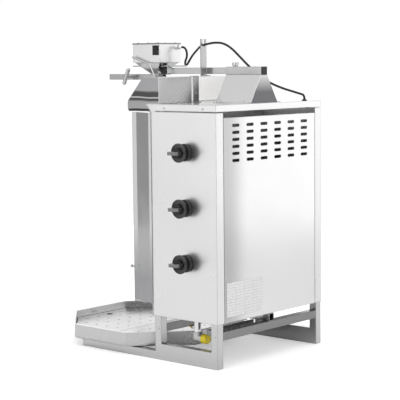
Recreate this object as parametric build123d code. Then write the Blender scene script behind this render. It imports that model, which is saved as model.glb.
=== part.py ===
"""Gas vertical rotisserie broiler with three infrared burners and a motor above the spit.

Millimetres, +Z up. The spit and drip tray face -Y, the ventilated back faces +Y and the
gas knobs are on +X. Every piece is designed from the back plane of the housing (y = 0) and
the middle of its width (x = 0), then all are moved together so that the origin is the
bottom centre of the whole machine.
"""
import os
from math import pi, radians, tan

from build123d import *

os.makedirs("parts", exist_ok=True)

# Driving dimensions: housing and frame
HALF_WIDTH = 255.0        # outer face of the side panels
SHEET = 1.2               # stainless sheet
TUBE = 25.0               # square frame tube
TUBE_WALL = 1.5
RAIL_LENGTH = 573.0
FRAME_X = HALF_WIDTH - SHEET
FRAME_BACK = -SHEET
FRAME_FRONT = -252.8
HOUSING_FRONT = -257.0
PANEL_BOTTOM = 135.0
SIDE_PANEL_TOP = 757.0
BACK_PANEL_TOP = 742.0
CAP_BOTTOM = 760.0
CAP_TOP = 780.0
CORNER_FLANGE = 32.0      # side panel turned round onto the back
CROSS_TUBE_Z = 85.0
POST_TOP = 741.0
FLOOR_Z = 139.0

# Spit, arms and motor
SPIT_Y = -470.0
ARM_SLIDE_Z = 876.5       # centre height of the upper arm
ARM = 20.0
SLEEVE = 25.0
SLEEVE_BACK = -26.0
SLEEVE_FRONT = -166.0
LOWER_ARM = 23.0
LOWER_ARM_BOTTOM = 110.3
LOWER_ARM_LENGTH = 575.0
MOTOR_BOX_BOTTOM = 903.0
MOTOR_BOX_TOP = 966.0
MOTOR_BOX_X = 49.5
MOTOR_BOX_Y = 59.5

# Gas train
KNOB_Y = -119.0
KNOB_TOP_Z = 639.0
KNOB_PITCH = 165.5
KNOB_HEIGHTS = [KNOB_TOP_Z - KNOB_PITCH * i for i in range(3)]
MANIFOLD_X = 210.0
MANIFOLD_RADIUS = 10.65   # half-inch gas pipe
ELBOW_Z = 76.0

# Burners
BURNER_HALF_WIDTH = 203.0
BURNER_HALF_HEIGHT = 68.0

# Hood over the cooking zone
HOOD_BACK = -225.0
HOOD_TOP = 860.0
HOOD_TOP_FRONT = -290.0
HOOD_LIP = -355.0
HOOD_BOTTOM = 757.5

# Drip tray, a regular octagon under the spit
TRAY_HALF = 275.0
TRAY_FRONT = -745.0
TRAY_BACK = -207.0
TRAY_CHAMFER = 157.0
TRAY_BOTTOM = 25.3
TRAY_TOP = 73.0
TRAY_RIM = 10.0           # flat flange turned out round the pan
INSERT_Z = 48.0

# Motor cable
CABLE_DIAMETER = 7.0
FORK_X = 25.5
FORK_Y = -247.0

nodes = {}


def block(x, y, z):
    """A box between two limits on each axis."""
    centre = [(lo + hi) / 2 for lo, hi in (x, y, z)]
    return Pos(*centre) * Box(x[1] - x[0], y[1] - y[0], z[1] - z[0])


def rod_x(y, z, radius, start, end):
    """A round bar along X."""
    return Pos((start + end) / 2, y, z) * Rot(0, 90, 0) * Cylinder(radius, end - start)


def rod_y(x, z, radius, start, end):
    """A round bar along Y."""
    return Pos(x, (start + end) / 2, z) * Rot(90, 0, 0) * Cylinder(radius, end - start)


def rod_z(x, y, radius, start, end):
    """A round bar along Z."""
    return Pos(x, y, (start + end) / 2) * Cylinder(radius, end - start)


def cone_z(x, y, low_radius, high_radius, start, end):
    """A taper along Z."""
    return Pos(x, y, (start + end) / 2) * Cone(low_radius, high_radius, end - start)


def profile_x(points, start, end):
    """A plate across X whose outline is given in (y, z)."""
    face = make_face(Polyline(*[(start, y, z) for y, z in points], close=True))
    return extrude(face, end - start, dir=(1, 0, 0))


def profile_y(points, start, end):
    """A body along Y whose outline is given in (x, z)."""
    face = make_face(Polyline(*[(x, start, z) for x, z in points], close=True))
    return extrude(face, end - start, dir=(0, 1, 0))


def profile_z(points, start, end):
    """A body along Z whose outline is given in (x, y)."""
    face = make_face(Polyline(*[(x, y, start) for x, y in points], close=True))
    return extrude(face, end - start, dir=(0, 0, 1))


def other_side(piece):
    """The same piece on the -X side."""
    return mirror(piece, about=Plane.YZ)


def both_sides(piece):
    """A piece and its mirror image, as separate solids of one node."""
    return Compound([*piece.solids(), *other_side(piece).solids()])


def group(pieces):
    """Separate solids that share one node."""
    return Compound([solid for piece in pieces for solid in piece.solids()])


# Frame

BOLT_PLACES = (FRAME_FRONT + TUBE / 2, FRAME_BACK - TUBE / 2)
BOLT_Z = CROSS_TUBE_Z + TUBE / 2
BOLT_HOLE_RADIUS = 3.1
BOLT_RADIUS = 2.9
BOLT_HEAD_RADIUS = 4.6
SUPPORT_BAR_END = 13.0
SUPPORT_BAR_Y = (-66.0, -60.0)
STRAP_SHEET = 1.5


def side_frame():
    """A welded side: floor rail, lower tube and two posts, with its cavities open."""
    inner = FRAME_X - TUBE
    x = (inner, FRAME_X)
    hollow_x = (inner + TUBE_WALL, FRAME_X - TUBE_WALL)
    rail = block(x, (-RAIL_LENGTH, FRAME_BACK), (0, TUBE))
    rail -= block(hollow_x, (-RAIL_LENGTH - 1, FRAME_BACK - TUBE_WALL), (TUBE_WALL, TUBE - TUBE_WALL))
    lower = block(x, (FRAME_FRONT, FRAME_BACK), (TUBE, 2 * TUBE))
    hollow_y = (FRAME_FRONT + TUBE_WALL, FRAME_BACK - TUBE_WALL)
    lower -= block(hollow_x, hollow_y, (TUBE + TUBE_WALL, 2 * TUBE - TUBE_WALL))
    frame = rail + lower
    for front in (FRAME_FRONT, FRAME_BACK - TUBE):
        frame += block(x, (front, front + TUBE), (2 * TUBE, POST_TOP))
    for front in (FRAME_FRONT, FRAME_BACK - TUBE):
        bore_y = (front + TUBE_WALL, front + TUBE - TUBE_WALL)
        frame -= block(hollow_x, bore_y, (2 * TUBE - TUBE_WALL - 1, POST_TOP + 1))
    for y in BOLT_PLACES:
        frame -= rod_x(y, BOLT_Z, BOLT_HOLE_RADIUS, inner - 1, FRAME_X + 1)
    return frame


nodes["side_frame_right"] = side_frame()
nodes["side_frame_left"] = other_side(side_frame())


def cross_tube(front):
    """A tube between the side frames, open at its ends."""
    half = FRAME_X - TUBE
    z = (CROSS_TUBE_Z, CROSS_TUBE_Z + TUBE)
    tube = block((-half, half), (front, front + TUBE), z)
    hollow_y = (front + TUBE_WALL, front + TUBE - TUBE_WALL)
    return tube - block((-half - 1, half + 1), hollow_y, (z[0] + TUBE_WALL, z[1] - TUBE_WALL))


def support_bar():
    """The flat bar beside the gas inlet, turned back onto the rear cross tube."""
    z = (CROSS_TUBE_Z + 9, CROSS_TUBE_Z + TUBE)
    inner = FRAME_X - TUBE
    front, back = SUPPORT_BAR_Y
    bar = block((SUPPORT_BAR_END, inner), SUPPORT_BAR_Y, z)
    return bar + block((inner - (back - front), inner), (front, FRAME_BACK - TUBE), z)


def frame_bolt(y):
    """A domed bolt that pulls a post against its cross tube."""
    shank = rod_x(y, BOLT_Z, BOLT_RADIUS, FRAME_X - TUBE + 0.5, FRAME_X)
    head = rod_x(y, BOLT_Z, BOLT_HEAD_RADIUS, FRAME_X, FRAME_X + 2.8)
    head = fillet(head.edges().group_by(Axis.X)[-1], 1.6)
    return shank + head


def arm_guide(front, length):
    """A U strap over the lower arm, standing on a cross tube."""
    gap = 0.6
    half = LOWER_ARM / 2 + gap
    top = LOWER_ARM_BOTTOM + LOWER_ARM + gap
    y = (front, front + length)
    base = CROSS_TUBE_Z + TUBE
    outer = block((-half - STRAP_SHEET, half + STRAP_SHEET), y, (base, top + STRAP_SHEET))
    strap = outer - block((-half, half), (y[0] - 1, y[1] + 1), (base - 1, top))
    feet = block((half + STRAP_SHEET, half + 14), y, (base, base + STRAP_SHEET))
    return strap + feet + other_side(feet)


front_tube = cross_tube(FRAME_FRONT) + arm_guide(FRAME_FRONT + 5, 14)
back_tube = cross_tube(FRAME_BACK - TUBE) + arm_guide(FRAME_BACK - TUBE + 4, 14) + support_bar()
nodes["cross_tubes"] = group([front_tube, back_tube])

# Housing

SCREW_PLACES = (-204.0, -50.7)
SCREW_Z = 768.0
SPINDLE_HOLE_RADIUS = 7.0
FRONT_FLANGE = 16.0       # side panel turned round onto the front
MAINS_GLAND_Y = -60.0
MAINS_GLAND_Z = 175.0
MAINS_BORE_RADIUS = 4.0
MAINS_NECK_RADIUS = 8.0


def side_panel(knob_holes):
    """A side sheet with its corner flanges; the knob side has three spindle holes."""
    z = (PANEL_BOTTOM, SIDE_PANEL_TOP)
    panel = block((FRAME_X, HALF_WIDTH), (HOUSING_FRONT, 0), z)
    panel += block((HALF_WIDTH - CORNER_FLANGE, HALF_WIDTH), (-SHEET, 0), z)
    panel += block((HALF_WIDTH - FRONT_FLANGE, HALF_WIDTH), (HOUSING_FRONT, HOUSING_FRONT + SHEET), z)
    if knob_holes:
        for height in KNOB_HEIGHTS:
            panel -= rod_x(KNOB_Y, height, SPINDLE_HOLE_RADIUS, FRAME_X - 1, HALF_WIDTH + 1)
    else:
        hole_radius = MAINS_NECK_RADIUS + 0.2
        panel -= rod_x(MAINS_GLAND_Y, MAINS_GLAND_Z, hole_radius, FRAME_X - 1, HALF_WIDTH + 1)
    return panel


nodes["side_panel_right"] = side_panel(True)
nodes["side_panel_left"] = other_side(side_panel(False))


def mains_gland():
    """The inlet gland for the supply lead, on the far side from the knobs."""
    flange = rod_x(MAINS_GLAND_Y, MAINS_GLAND_Z, 12, HALF_WIDTH, HALF_WIDTH + 5)
    neck = rod_x(MAINS_GLAND_Y, MAINS_GLAND_Z, MAINS_NECK_RADIUS, FRAME_X - 9, HALF_WIDTH)
    nut = rod_x(MAINS_GLAND_Y, MAINS_GLAND_Z, 9.5, HALF_WIDTH + 5, HALF_WIDTH + 14)
    nut = fillet(nut.edges().group_by(Axis.X)[-1], 2.5)
    bore = rod_x(MAINS_GLAND_Y, MAINS_GLAND_Z, MAINS_BORE_RADIUS, FRAME_X - 10, HALF_WIDTH + 15)
    return flange + neck + nut - bore


nodes["mains_gland"] = other_side(mains_gland())

SLOT_COLUMNS = 6
SLOT_ROWS = 6
SLOT_PITCH_X = 66.2
SLOT_PITCH_Z = 20.7
SLOT_TOP_Z = 718.6
SLOT_LENGTH = 33.0
SLOT_HEIGHT = 8.6
BACK_PANEL_HALF = HALF_WIDTH - CORNER_FLANGE - 1.6
PLATE_X = (48.0, 213.0)
PLATE_Z = (151.0, 254.0)
PLATE_THICKNESS = 0.5


def vent_slot(column, row):
    """One round-ended slot through the back panel."""
    x = (column - (SLOT_COLUMNS - 1) / 2) * SLOT_PITCH_X
    z = SLOT_TOP_Z - row * SLOT_PITCH_Z
    half = (SLOT_LENGTH - SLOT_HEIGHT) / 2
    y = (-SHEET - 1, 1)
    radius = SLOT_HEIGHT / 2
    slot = block((x - half, x + half), y, (z - radius, z + radius))
    return slot + rod_y(x - half, z, radius, *y) + rod_y(x + half, z, radius, *y)


def back_panel():
    """The back sheet with six rows of slots and folded edges."""
    z = (PANEL_BOTTOM, BACK_PANEL_TOP)
    fold = 12.0
    panel = block((-BACK_PANEL_HALF, BACK_PANEL_HALF), (-SHEET, 0), z)
    for side in (-1, 1):
        edge = sorted((side * BACK_PANEL_HALF, side * (BACK_PANEL_HALF - SHEET)))
        panel += block(edge, (-fold, 0), z)
    panel += block((-BACK_PANEL_HALF, BACK_PANEL_HALF), (-fold, 0), (z[1] - SHEET, z[1]))
    slots = [vent_slot(column, row) for column in range(SLOT_COLUMNS) for row in range(SLOT_ROWS)]
    return panel - slots


nodes["back_panel"] = back_panel()
nodes["rating_plate"] = block(PLATE_X, (0, PLATE_THICKNESS), PLATE_Z)

FLOOR_HALF = FRAME_X - TUBE - 0.5
FLOOR_BACK = -13.0
FLOOR_FOLD = 15.0


def floor_panel():
    """The housing floor, with the hole that the gas pipe passes through."""
    y = (FRAME_FRONT + TUBE + 0.5, FLOOR_BACK)
    floor = block((-FLOOR_HALF, FLOOR_HALF), y, (FLOOR_Z, FLOOR_Z + SHEET))
    for side in (-1, 1):
        edge = sorted((side * FLOOR_HALF, side * (FLOOR_HALF - SHEET)))
        floor += block(edge, y, (FLOOR_Z, FLOOR_Z + FLOOR_FOLD))
    return floor - rod_z(MANIFOLD_X, KNOB_Y, MANIFOLD_RADIUS + 1.5, FLOOR_Z - 1, FLOOR_Z + 3)


nodes["floor_panel"] = floor_panel()

CAP_EAR = -276.0
CAP_CORNER = -259.0
SCREW_HEAD_RADIUS = 3.4
SCREW_RADIUS = 2.0
GROMMET_X = -195.0
GROMMET_Y = -20.0


def top_cap():
    """The lid of the housing, with a back flange and mitred side flanges."""
    cap = block((-HALF_WIDTH, HALF_WIDTH), (HOUSING_FRONT, 0), (CAP_TOP - SHEET, CAP_TOP))
    cap += block((-HALF_WIDTH, HALF_WIDTH), (-SHEET, 0), (CAP_BOTTOM, CAP_TOP))
    flange = [
        (0, CAP_BOTTOM),
        (CAP_CORNER, CAP_BOTTOM),
        (CAP_EAR, CAP_TOP - SHEET),
        (CAP_EAR, CAP_TOP),
        (0, CAP_TOP),
    ]
    side = profile_x(flange, FRAME_X, HALF_WIDTH)
    for y in SCREW_PLACES:
        side -= rod_x(y, SCREW_Z, SCREW_RADIUS + 0.1, FRAME_X - 1, HALF_WIDTH + 1)
    cap = cap + side + other_side(side)
    return cap - rod_z(GROMMET_X, GROMMET_Y, 6.0, CAP_TOP - 3, CAP_TOP + 1)


nodes["top_cap"] = top_cap()


def cap_screw(y):
    """A pan-head screw through the side flange of the cap."""
    head = rod_x(y, SCREW_Z, SCREW_HEAD_RADIUS, HALF_WIDTH, HALF_WIDTH + 1.9)
    head = fillet(head.edges().group_by(Axis.X)[-1], 1.2)
    slot = block((HALF_WIDTH + 1.2, HALF_WIDTH + 3), (y - 4, y + 4), (SCREW_Z - 0.5, SCREW_Z + 0.5))
    return head + rod_x(y, SCREW_Z, SCREW_RADIUS, FRAME_X - 8, HALF_WIDTH) - slot


# Burners behind the front surround

SURROUND_BACK = FRAME_FRONT
CERAMIC_HALF_WIDTH = 195.0
CERAMIC_HALF_HEIGHT = 60.0
CERAMIC_BACK = -240.0
CERAMIC_TILES = 6
BURNER_BACK = -205.0
INJECTOR_X = 212.0
INJECTOR_Y = -219.0
GUARD_WIRE = 2.2
GUARD_COLUMNS = 10
GUARD_ROWS = 4


def front_surround():
    """The sheet round the three burners that faces the spit."""
    y = (SURROUND_BACK - SHEET, SURROUND_BACK)
    sheet = block((-FRAME_X, FRAME_X), y, (PANEL_BOTTOM, SIDE_PANEL_TOP))
    for height in KNOB_HEIGHTS:
        window_x = (-CERAMIC_HALF_WIDTH - 1, CERAMIC_HALF_WIDTH + 1)
        window_z = (height - CERAMIC_HALF_HEIGHT - 1, height + CERAMIC_HALF_HEIGHT + 1)
        sheet -= block(window_x, (y[0] - 1, y[1] + 1), window_z)
    return sheet


def burner_body(height):
    """The pressed burner box with its plenum and the injector boss on the gas side."""
    y = (FRAME_FRONT, BURNER_BACK)
    half_x = BURNER_HALF_WIDTH
    half_z = BURNER_HALF_HEIGHT
    body = block((-half_x, half_x), y, (height - half_z, height + half_z))
    body = fillet(body.edges().filter_by(Axis.Y), 6)
    recess_x = (-CERAMIC_HALF_WIDTH - 0.3, CERAMIC_HALF_WIDTH + 0.3)
    recess_z = (height - CERAMIC_HALF_HEIGHT - 0.3, height + CERAMIC_HALF_HEIGHT + 0.3)
    body -= block(recess_x, (y[0] - 1, CERAMIC_BACK), recess_z)
    plenum_z = (height - CERAMIC_HALF_HEIGHT + 5, height + CERAMIC_HALF_HEIGHT - 5)
    plenum_x = (-CERAMIC_HALF_WIDTH + 5, CERAMIC_HALF_WIDTH - 5)
    body -= block(plenum_x, (CERAMIC_BACK - 1, y[1] - 2), plenum_z)
    boss = rod_x(INJECTOR_Y, height, 9, half_x - 0.5, INJECTOR_X)
    return body + boss - rod_x(INJECTOR_Y, height, 1.5, half_x - 20, INJECTOR_X + 1)


def burner_ceramic(height):
    """The glowing ceramic, cut into tiles by shallow grooves."""
    y = (FRAME_FRONT + 0.6, CERAMIC_BACK)
    z = (height - CERAMIC_HALF_HEIGHT, height + CERAMIC_HALF_HEIGHT)
    plate = block((-CERAMIC_HALF_WIDTH, CERAMIC_HALF_WIDTH), y, z)
    pitch = 2 * CERAMIC_HALF_WIDTH / CERAMIC_TILES
    for i in range(1, CERAMIC_TILES):
        x = -CERAMIC_HALF_WIDTH + i * pitch
        plate -= block((x - 0.8, x + 0.8), (y[0] - 1, y[0] + 1.5), (z[0] - 1, z[1] + 1))
    return plate


def burner_guard(height):
    """The welded wire guard in front of one burner."""
    y = (SURROUND_BACK - SHEET - GUARD_WIRE, SURROUND_BACK - SHEET)
    half_x = CERAMIC_HALF_WIDTH + 8
    half_z = CERAMIC_HALF_HEIGHT + 8
    guard = block((-half_x, half_x), y, (height - half_z, height + half_z))
    pitch_x = (2 * half_x - GUARD_WIRE) / GUARD_COLUMNS
    pitch_z = (2 * half_z - GUARD_WIRE) / GUARD_ROWS
    windows = []
    for i in range(GUARD_COLUMNS):
        for j in range(GUARD_ROWS):
            x = -half_x + GUARD_WIRE + i * pitch_x
            z = height - half_z + GUARD_WIRE + j * pitch_z
            window_x = (x, x + pitch_x - GUARD_WIRE)
            window_z = (z, z + pitch_z - GUARD_WIRE)
            windows.append(block(window_x, (y[0] - 1, y[1] + 1), window_z))
    return guard - windows


nodes["front_surround"] = front_surround()
nodes["burner_bodies"] = group([burner_body(height) for height in KNOB_HEIGHTS])
nodes["burner_ceramics"] = group([burner_ceramic(height) for height in KNOB_HEIGHTS])
nodes["burner_guards"] = group([burner_guard(height) for height in KNOB_HEIGHTS])

# Gas train

VALVE_X = 222.0
VALVE_BONNET_X = 240.0
PLUNGER_RADIUS = 5.0
PLUNGER_X = (241.0, 257.0)
SPINDLE_RADIUS = 3.0
RUNNING_GAP = 0.06
VALVE_OUTLET_X = 231.0
VALVE_OUTLET_Y = KNOB_Y - 21
BRANCH_RADIUS = 8.0
NIPPLE_Z = 108.0
NIPPLE_Y = KNOB_Y - 17
ELBOW_RADIUS = 14.0
THREAD_RADIUS = 10.5
THREAD_END = KNOB_Y + 38
DUST_CAP_RADIUS = 14.5
DUST_CAP_START = KNOB_Y + 23.6


def gas_manifold():
    """The vertical pipe that feeds the three valves."""
    top = KNOB_TOP_Z + 25
    pipe = rod_z(MANIFOLD_X, KNOB_Y, MANIFOLD_RADIUS, ELBOW_Z + 18, top)
    for height in KNOB_HEIGHTS:
        pipe += rod_x(KNOB_Y, height, BRANCH_RADIUS, MANIFOLD_X, VALVE_X)
    pipe += rod_y(MANIFOLD_X, NIPPLE_Z, 5, NIPPLE_Y, KNOB_Y)
    return pipe - rod_z(MANIFOLD_X, KNOB_Y, MANIFOLD_RADIUS - 2.6, ELBOW_Z + 17, top - 3)


nodes["gas_manifold"] = gas_manifold()


def test_nipple():
    """The brass pressure test point screwed into the pipe below the housing."""
    hexagon = Rot(90, 0, 0) * extrude(RegularPolygon(6.5, 6), 2.5, both=True)
    tip = Rot(90, 0, 0) * Cone(4, 2.6, 12)
    hexagon = Pos(MANIFOLD_X, NIPPLE_Y - 2.5, NIPPLE_Z) * hexagon
    return hexagon + Pos(MANIFOLD_X, NIPPLE_Y - 11, NIPPLE_Z) * tip


nodes["test_nipple"] = test_nipple()


def inlet_elbow():
    """The cast elbow that turns the gas inlet towards the back."""
    radius = ELBOW_RADIUS
    body = rod_z(MANIFOLD_X, KNOB_Y, radius, ELBOW_Z, ELBOW_Z + 14)
    body += rod_y(MANIFOLD_X, ELBOW_Z, radius, KNOB_Y, KNOB_Y + 18)
    body += Pos(MANIFOLD_X, KNOB_Y, ELBOW_Z) * Sphere(radius)
    body += rod_z(MANIFOLD_X, KNOB_Y, radius + 2, ELBOW_Z + 13, ELBOW_Z + 18)
    body += rod_y(MANIFOLD_X, ELBOW_Z, radius + 1, KNOB_Y + 17, KNOB_Y + 23)
    body += rod_y(MANIFOLD_X, ELBOW_Z, THREAD_RADIUS, KNOB_Y + 23, THREAD_END)
    body -= rod_z(MANIFOLD_X, KNOB_Y, 8, ELBOW_Z, ELBOW_Z + 19)
    return body - rod_y(MANIFOLD_X, ELBOW_Z, 7.5, KNOB_Y, THREAD_END + 1)


nodes["inlet_elbow"] = inlet_elbow()


def inlet_cap():
    """The yellow dust cap pushed over the inlet thread."""
    cap = rod_y(MANIFOLD_X, ELBOW_Z, DUST_CAP_RADIUS, DUST_CAP_START, DUST_CAP_START + 19)
    cap = fillet(cap.edges().group_by(Axis.Y)[-1], 3)
    socket_y = (DUST_CAP_START - 1, THREAD_END + 0.8)
    return cap - rod_y(MANIFOLD_X, ELBOW_Z, THREAD_RADIUS + 0.4, *socket_y)


nodes["inlet_cap"] = inlet_cap()


def gas_valve(height):
    """One push-and-turn valve between the manifold and the knob panel."""
    body = block((VALVE_X, VALVE_BONNET_X), (KNOB_Y - 13, KNOB_Y + 13), (height - 17, height + 17))
    body = fillet(body.edges().filter_by(Axis.X), 3)
    body += rod_x(KNOB_Y, height, 9.5, VALVE_BONNET_X - 1, FRAME_X - 1.6)
    body += rod_y(VALVE_OUTLET_X, height, 6.5, VALVE_OUTLET_Y, KNOB_Y - 12)
    return body - rod_x(KNOB_Y, height, PLUNGER_RADIUS + RUNNING_GAP, VALVE_BONNET_X - 4, FRAME_X)


def valve_plunger(height):
    """The sleeve that is pushed in to open the flame-failure valve."""
    start, end = PLUNGER_X
    sleeve = rod_x(KNOB_Y, height, PLUNGER_RADIUS, start, end)
    return sleeve - rod_x(KNOB_Y, height, SPINDLE_RADIUS + RUNNING_GAP, start - 1, end + 1)


KNOB_REAR = 260.5
KNOB_DISC = 283.5
KNOB_FACE = 291.0
KNOB_TIP = 321.0
KNOB_RADIUS = 28.5
KNOB_SKIRT_RADIUS = 26.5
KNOB_WAIST_RADIUS = 19.0
KNOB_HUB_RADIUS = 16.5
SPINDLE_END = 244.0


def knob(height):
    """A black control knob: rear skirt, waist, bevelled disc, hub and grip blade."""
    def stage(radius, start, end):
        return rod_x(KNOB_Y, height, radius, start, end)
    skirt = stage(KNOB_SKIRT_RADIUS, KNOB_REAR, KNOB_REAR + 5)
    skirt = fillet(skirt.edges().group_by(Axis.X)[-1], 2)
    disc = stage(KNOB_RADIUS, KNOB_DISC, KNOB_FACE)
    disc = chamfer(disc.edges().group_by(Axis.X)[-1], 2.4)
    body = skirt + stage(KNOB_WAIST_RADIUS, KNOB_REAR + 4, KNOB_DISC + 1) + disc
    body -= stage(KNOB_RADIUS - 4.5, KNOB_FACE - 2.2, KNOB_FACE + 1)
    body += stage(KNOB_HUB_RADIUS, KNOB_DISC, KNOB_FACE + 8)
    root = KNOB_FACE - 3
    outline = [
        (root, KNOB_Y - 20),
        (KNOB_TIP, KNOB_Y - 14),
        (KNOB_TIP, KNOB_Y + 14),
        (root, KNOB_Y + 20),
    ]
    blade = profile_z(outline, height - 5, height + 5)
    blade = fillet(blade.edges().group_by(Axis.X)[-1], 1.6)
    return body + blade + stage(SPINDLE_RADIUS, SPINDLE_END, KNOB_REAR + 1)


PIPE_RADIUS = 4.0


def supply_pipe(height):
    """The copper pipe from a valve to its burner's injector boss."""
    start = (VALVE_OUTLET_X, VALVE_OUTLET_Y, height)
    corner = (VALVE_OUTLET_X, INJECTOR_Y, height)
    path = FilletPolyline(start, corner, (INJECTOR_X, INJECTOR_Y, height), radius=12)
    section = Plane(origin=start, z_dir=(0, -1, 0)) * Circle(PIPE_RADIUS)
    return sweep(section, path=path)


nodes["gas_valves"] = group([gas_valve(height) for height in KNOB_HEIGHTS])
nodes["supply_pipes"] = group([supply_pipe(height) for height in KNOB_HEIGHTS])
for number, knob_height in enumerate(KNOB_HEIGHTS, start=1):
    nodes[f"valve_plunger_{number}"] = valve_plunger(knob_height)
    nodes[f"knob_{number}"] = knob(knob_height)

# Hood over the cooking zone

HOOD_SLOPE_BOTTOM = 790.0
HOOD_FRONT = HOOD_LIP + 2
MITRE_GAP = 1.5
HOOD_FOOT_Y = -258.6
HOOD_BACK_EDGE = 107.0     # inner edge of each upright sheet behind the hood


def hood():
    """The welded canopy: two side plates joined by the sloping front and the top flange."""
    side = profile_x(
        [
            (HOOD_BACK, CAP_TOP + 1),
            (HOOD_BACK, HOOD_TOP),
            (HOOD_TOP_FRONT, HOOD_TOP),
            (HOOD_FRONT, HOOD_SLOPE_BOTTOM),
            (HOOD_LIP, CAP_TOP + 1),
            (HOOD_LIP, HOOD_BOTTOM + 7),
            (HOOD_LIP + 5, HOOD_BOTTOM),
            (HOOD_FOOT_Y, HOOD_BOTTOM),
            (CAP_EAR - MITRE_GAP, CAP_TOP - SHEET),
            (CAP_EAR - MITRE_GAP, CAP_TOP + 1),
        ],
        FRAME_X,
        HALF_WIDTH,
    )
    front = profile_x(
        [
            (HOOD_BACK, HOOD_TOP),
            (HOOD_TOP_FRONT, HOOD_TOP),
            (HOOD_FRONT, HOOD_SLOPE_BOTTOM),
            (HOOD_LIP, CAP_TOP + 1),
            (HOOD_LIP, HOOD_BOTTOM + 7),
            (HOOD_LIP + SHEET, HOOD_BOTTOM + 7),
            (HOOD_LIP + SHEET, CAP_TOP + 1),
            (HOOD_FRONT + SHEET, HOOD_SLOPE_BOTTOM - 0.4),
            (HOOD_TOP_FRONT + 0.5, HOOD_TOP - SHEET),
            (HOOD_BACK, HOOD_TOP - SHEET),
        ],
        -FRAME_X,
        FRAME_X,
    )
    return side + other_side(side) + front


nodes["hood"] = hood()

STRAP_CENTRE = 88.0
STRAP_HALF = 13.0
STRAP_SCREW_Z = 810.0


def hood_back():
    """The two upright sheets behind the hood, with the gap for the hot gases between them."""
    x = (HOOD_BACK_EDGE, FRAME_X)
    sheet = block(x, (HOOD_BACK - SHEET, HOOD_BACK), (CAP_TOP, HOOD_TOP - SHEET))
    sheet += block(x, (HOOD_BACK - SHEET, HOOD_BACK + 12), (CAP_TOP, CAP_TOP + SHEET))
    return both_sides(sheet)


def hood_strap():
    """A strap that ties the hood's top flange down to the cap."""
    x = (STRAP_CENTRE - STRAP_HALF, STRAP_CENTRE + STRAP_HALF)
    strap = block(x, (HOOD_BACK, HOOD_BACK + 2), (CAP_TOP, HOOD_TOP + 2))
    strap += block(x, (HOOD_BACK - 14, HOOD_BACK + 2), (HOOD_TOP, HOOD_TOP + 2))
    foot = (STRAP_CENTRE - 7, STRAP_CENTRE + 7)
    strap += block(foot, (HOOD_BACK, HOOD_BACK + 16), (CAP_TOP, CAP_TOP + 2))
    screw = rod_y(STRAP_CENTRE, STRAP_SCREW_Z, 3.4, HOOD_BACK + 2, HOOD_BACK + 4)
    return strap + screw


nodes["hood_back"] = group([hood_back(), both_sides(hood_strap())])

# Arm stand, sleeve and sliding arm

STAND_BACK = -25.0
STAND_FRONT = -164.0
STAND_TOP = ARM_SLIDE_Z - SLEEVE / 2
STAND_BASE_HALF = 65.0
STAND_TOP_HALF = 14.0
STAND_SHEET = 1.5
STAND_FOOT = 15.0


def arm_stand():
    """The folded A-shaped stand on the cap that carries the sleeve."""
    outline = [
        (-STAND_BASE_HALF, CAP_TOP),
        (STAND_BASE_HALF, CAP_TOP),
        (STAND_TOP_HALF, STAND_TOP),
        (-STAND_TOP_HALF, STAND_TOP),
    ]
    hollow = [
        (-STAND_BASE_HALF + 1.9, CAP_TOP - 1),
        (STAND_BASE_HALF - 1.9, CAP_TOP - 1),
        (STAND_TOP_HALF - 1, STAND_TOP - STAND_SHEET),
        (-STAND_TOP_HALF + 1, STAND_TOP - STAND_SHEET),
    ]
    stand = profile_y(outline, STAND_FRONT, STAND_BACK)
    stand -= profile_y(hollow, STAND_FRONT + STAND_SHEET, STAND_BACK - STAND_SHEET)
    foot_x = (STAND_BASE_HALF - 1, STAND_BASE_HALF + STAND_FOOT)
    foot = block(foot_x, (STAND_FRONT, STAND_BACK), (CAP_TOP, CAP_TOP + STAND_SHEET))
    return stand + foot + other_side(foot)


def stand_nut(y):
    """A flanged nut on the stand's foot."""
    x = STAND_BASE_HALF + 8
    base = CAP_TOP + STAND_SHEET
    washer = rod_z(x, y, 5.5, base, base + 1)
    return washer + Pos(x, y, base + 1) * extrude(RegularPolygon(4.8, 6), 4)


nodes["arm_stand"] = arm_stand()
FASTENERS = [frame_bolt(y) for y in BOLT_PLACES]
FASTENERS += [cap_screw(y) for y in SCREW_PLACES]
FASTENERS += [stand_nut(y) for y in (STAND_FRONT + 22, STAND_BACK - 22)]
nodes["fasteners"] = group([both_sides(fastener) for fastener in FASTENERS])

CLAMP_Y = -138.0
SLEEVE_TOP = ARM_SLIDE_Z + SLEEVE / 2
SLEEVE_WALL = 2.0
SLEEVE_BOSS_RADIUS = 8.5
CLAMP_RADIUS = 4.0
CLAMP_HEAD_RADIUS = 10.5
CLAMP_NOTCHES = 12


def square_tube(half, wall, y):
    """A square tube along Y at the height of the arm, open at both ends."""
    outer = block((-half, half), y, (ARM_SLIDE_Z - half, ARM_SLIDE_Z + half))
    inner = half - wall
    inner_z = (ARM_SLIDE_Z - inner, ARM_SLIDE_Z + inner)
    return outer - block((-inner, inner), (y[0] - 1, y[1] + 1), inner_z)


def sleeve_tube():
    """The fixed outer tube with the threaded boss of its clamp screw."""
    sleeve = square_tube(SLEEVE / 2, SLEEVE_WALL, (SLEEVE_FRONT, SLEEVE_BACK))
    sleeve += rod_z(0, CLAMP_Y, SLEEVE_BOSS_RADIUS, SLEEVE_TOP, SLEEVE_TOP + 3)
    return sleeve - rod_z(0, CLAMP_Y, CLAMP_RADIUS + RUNNING_GAP, SLEEVE_TOP - 3, SLEEVE_TOP + 4)


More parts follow.
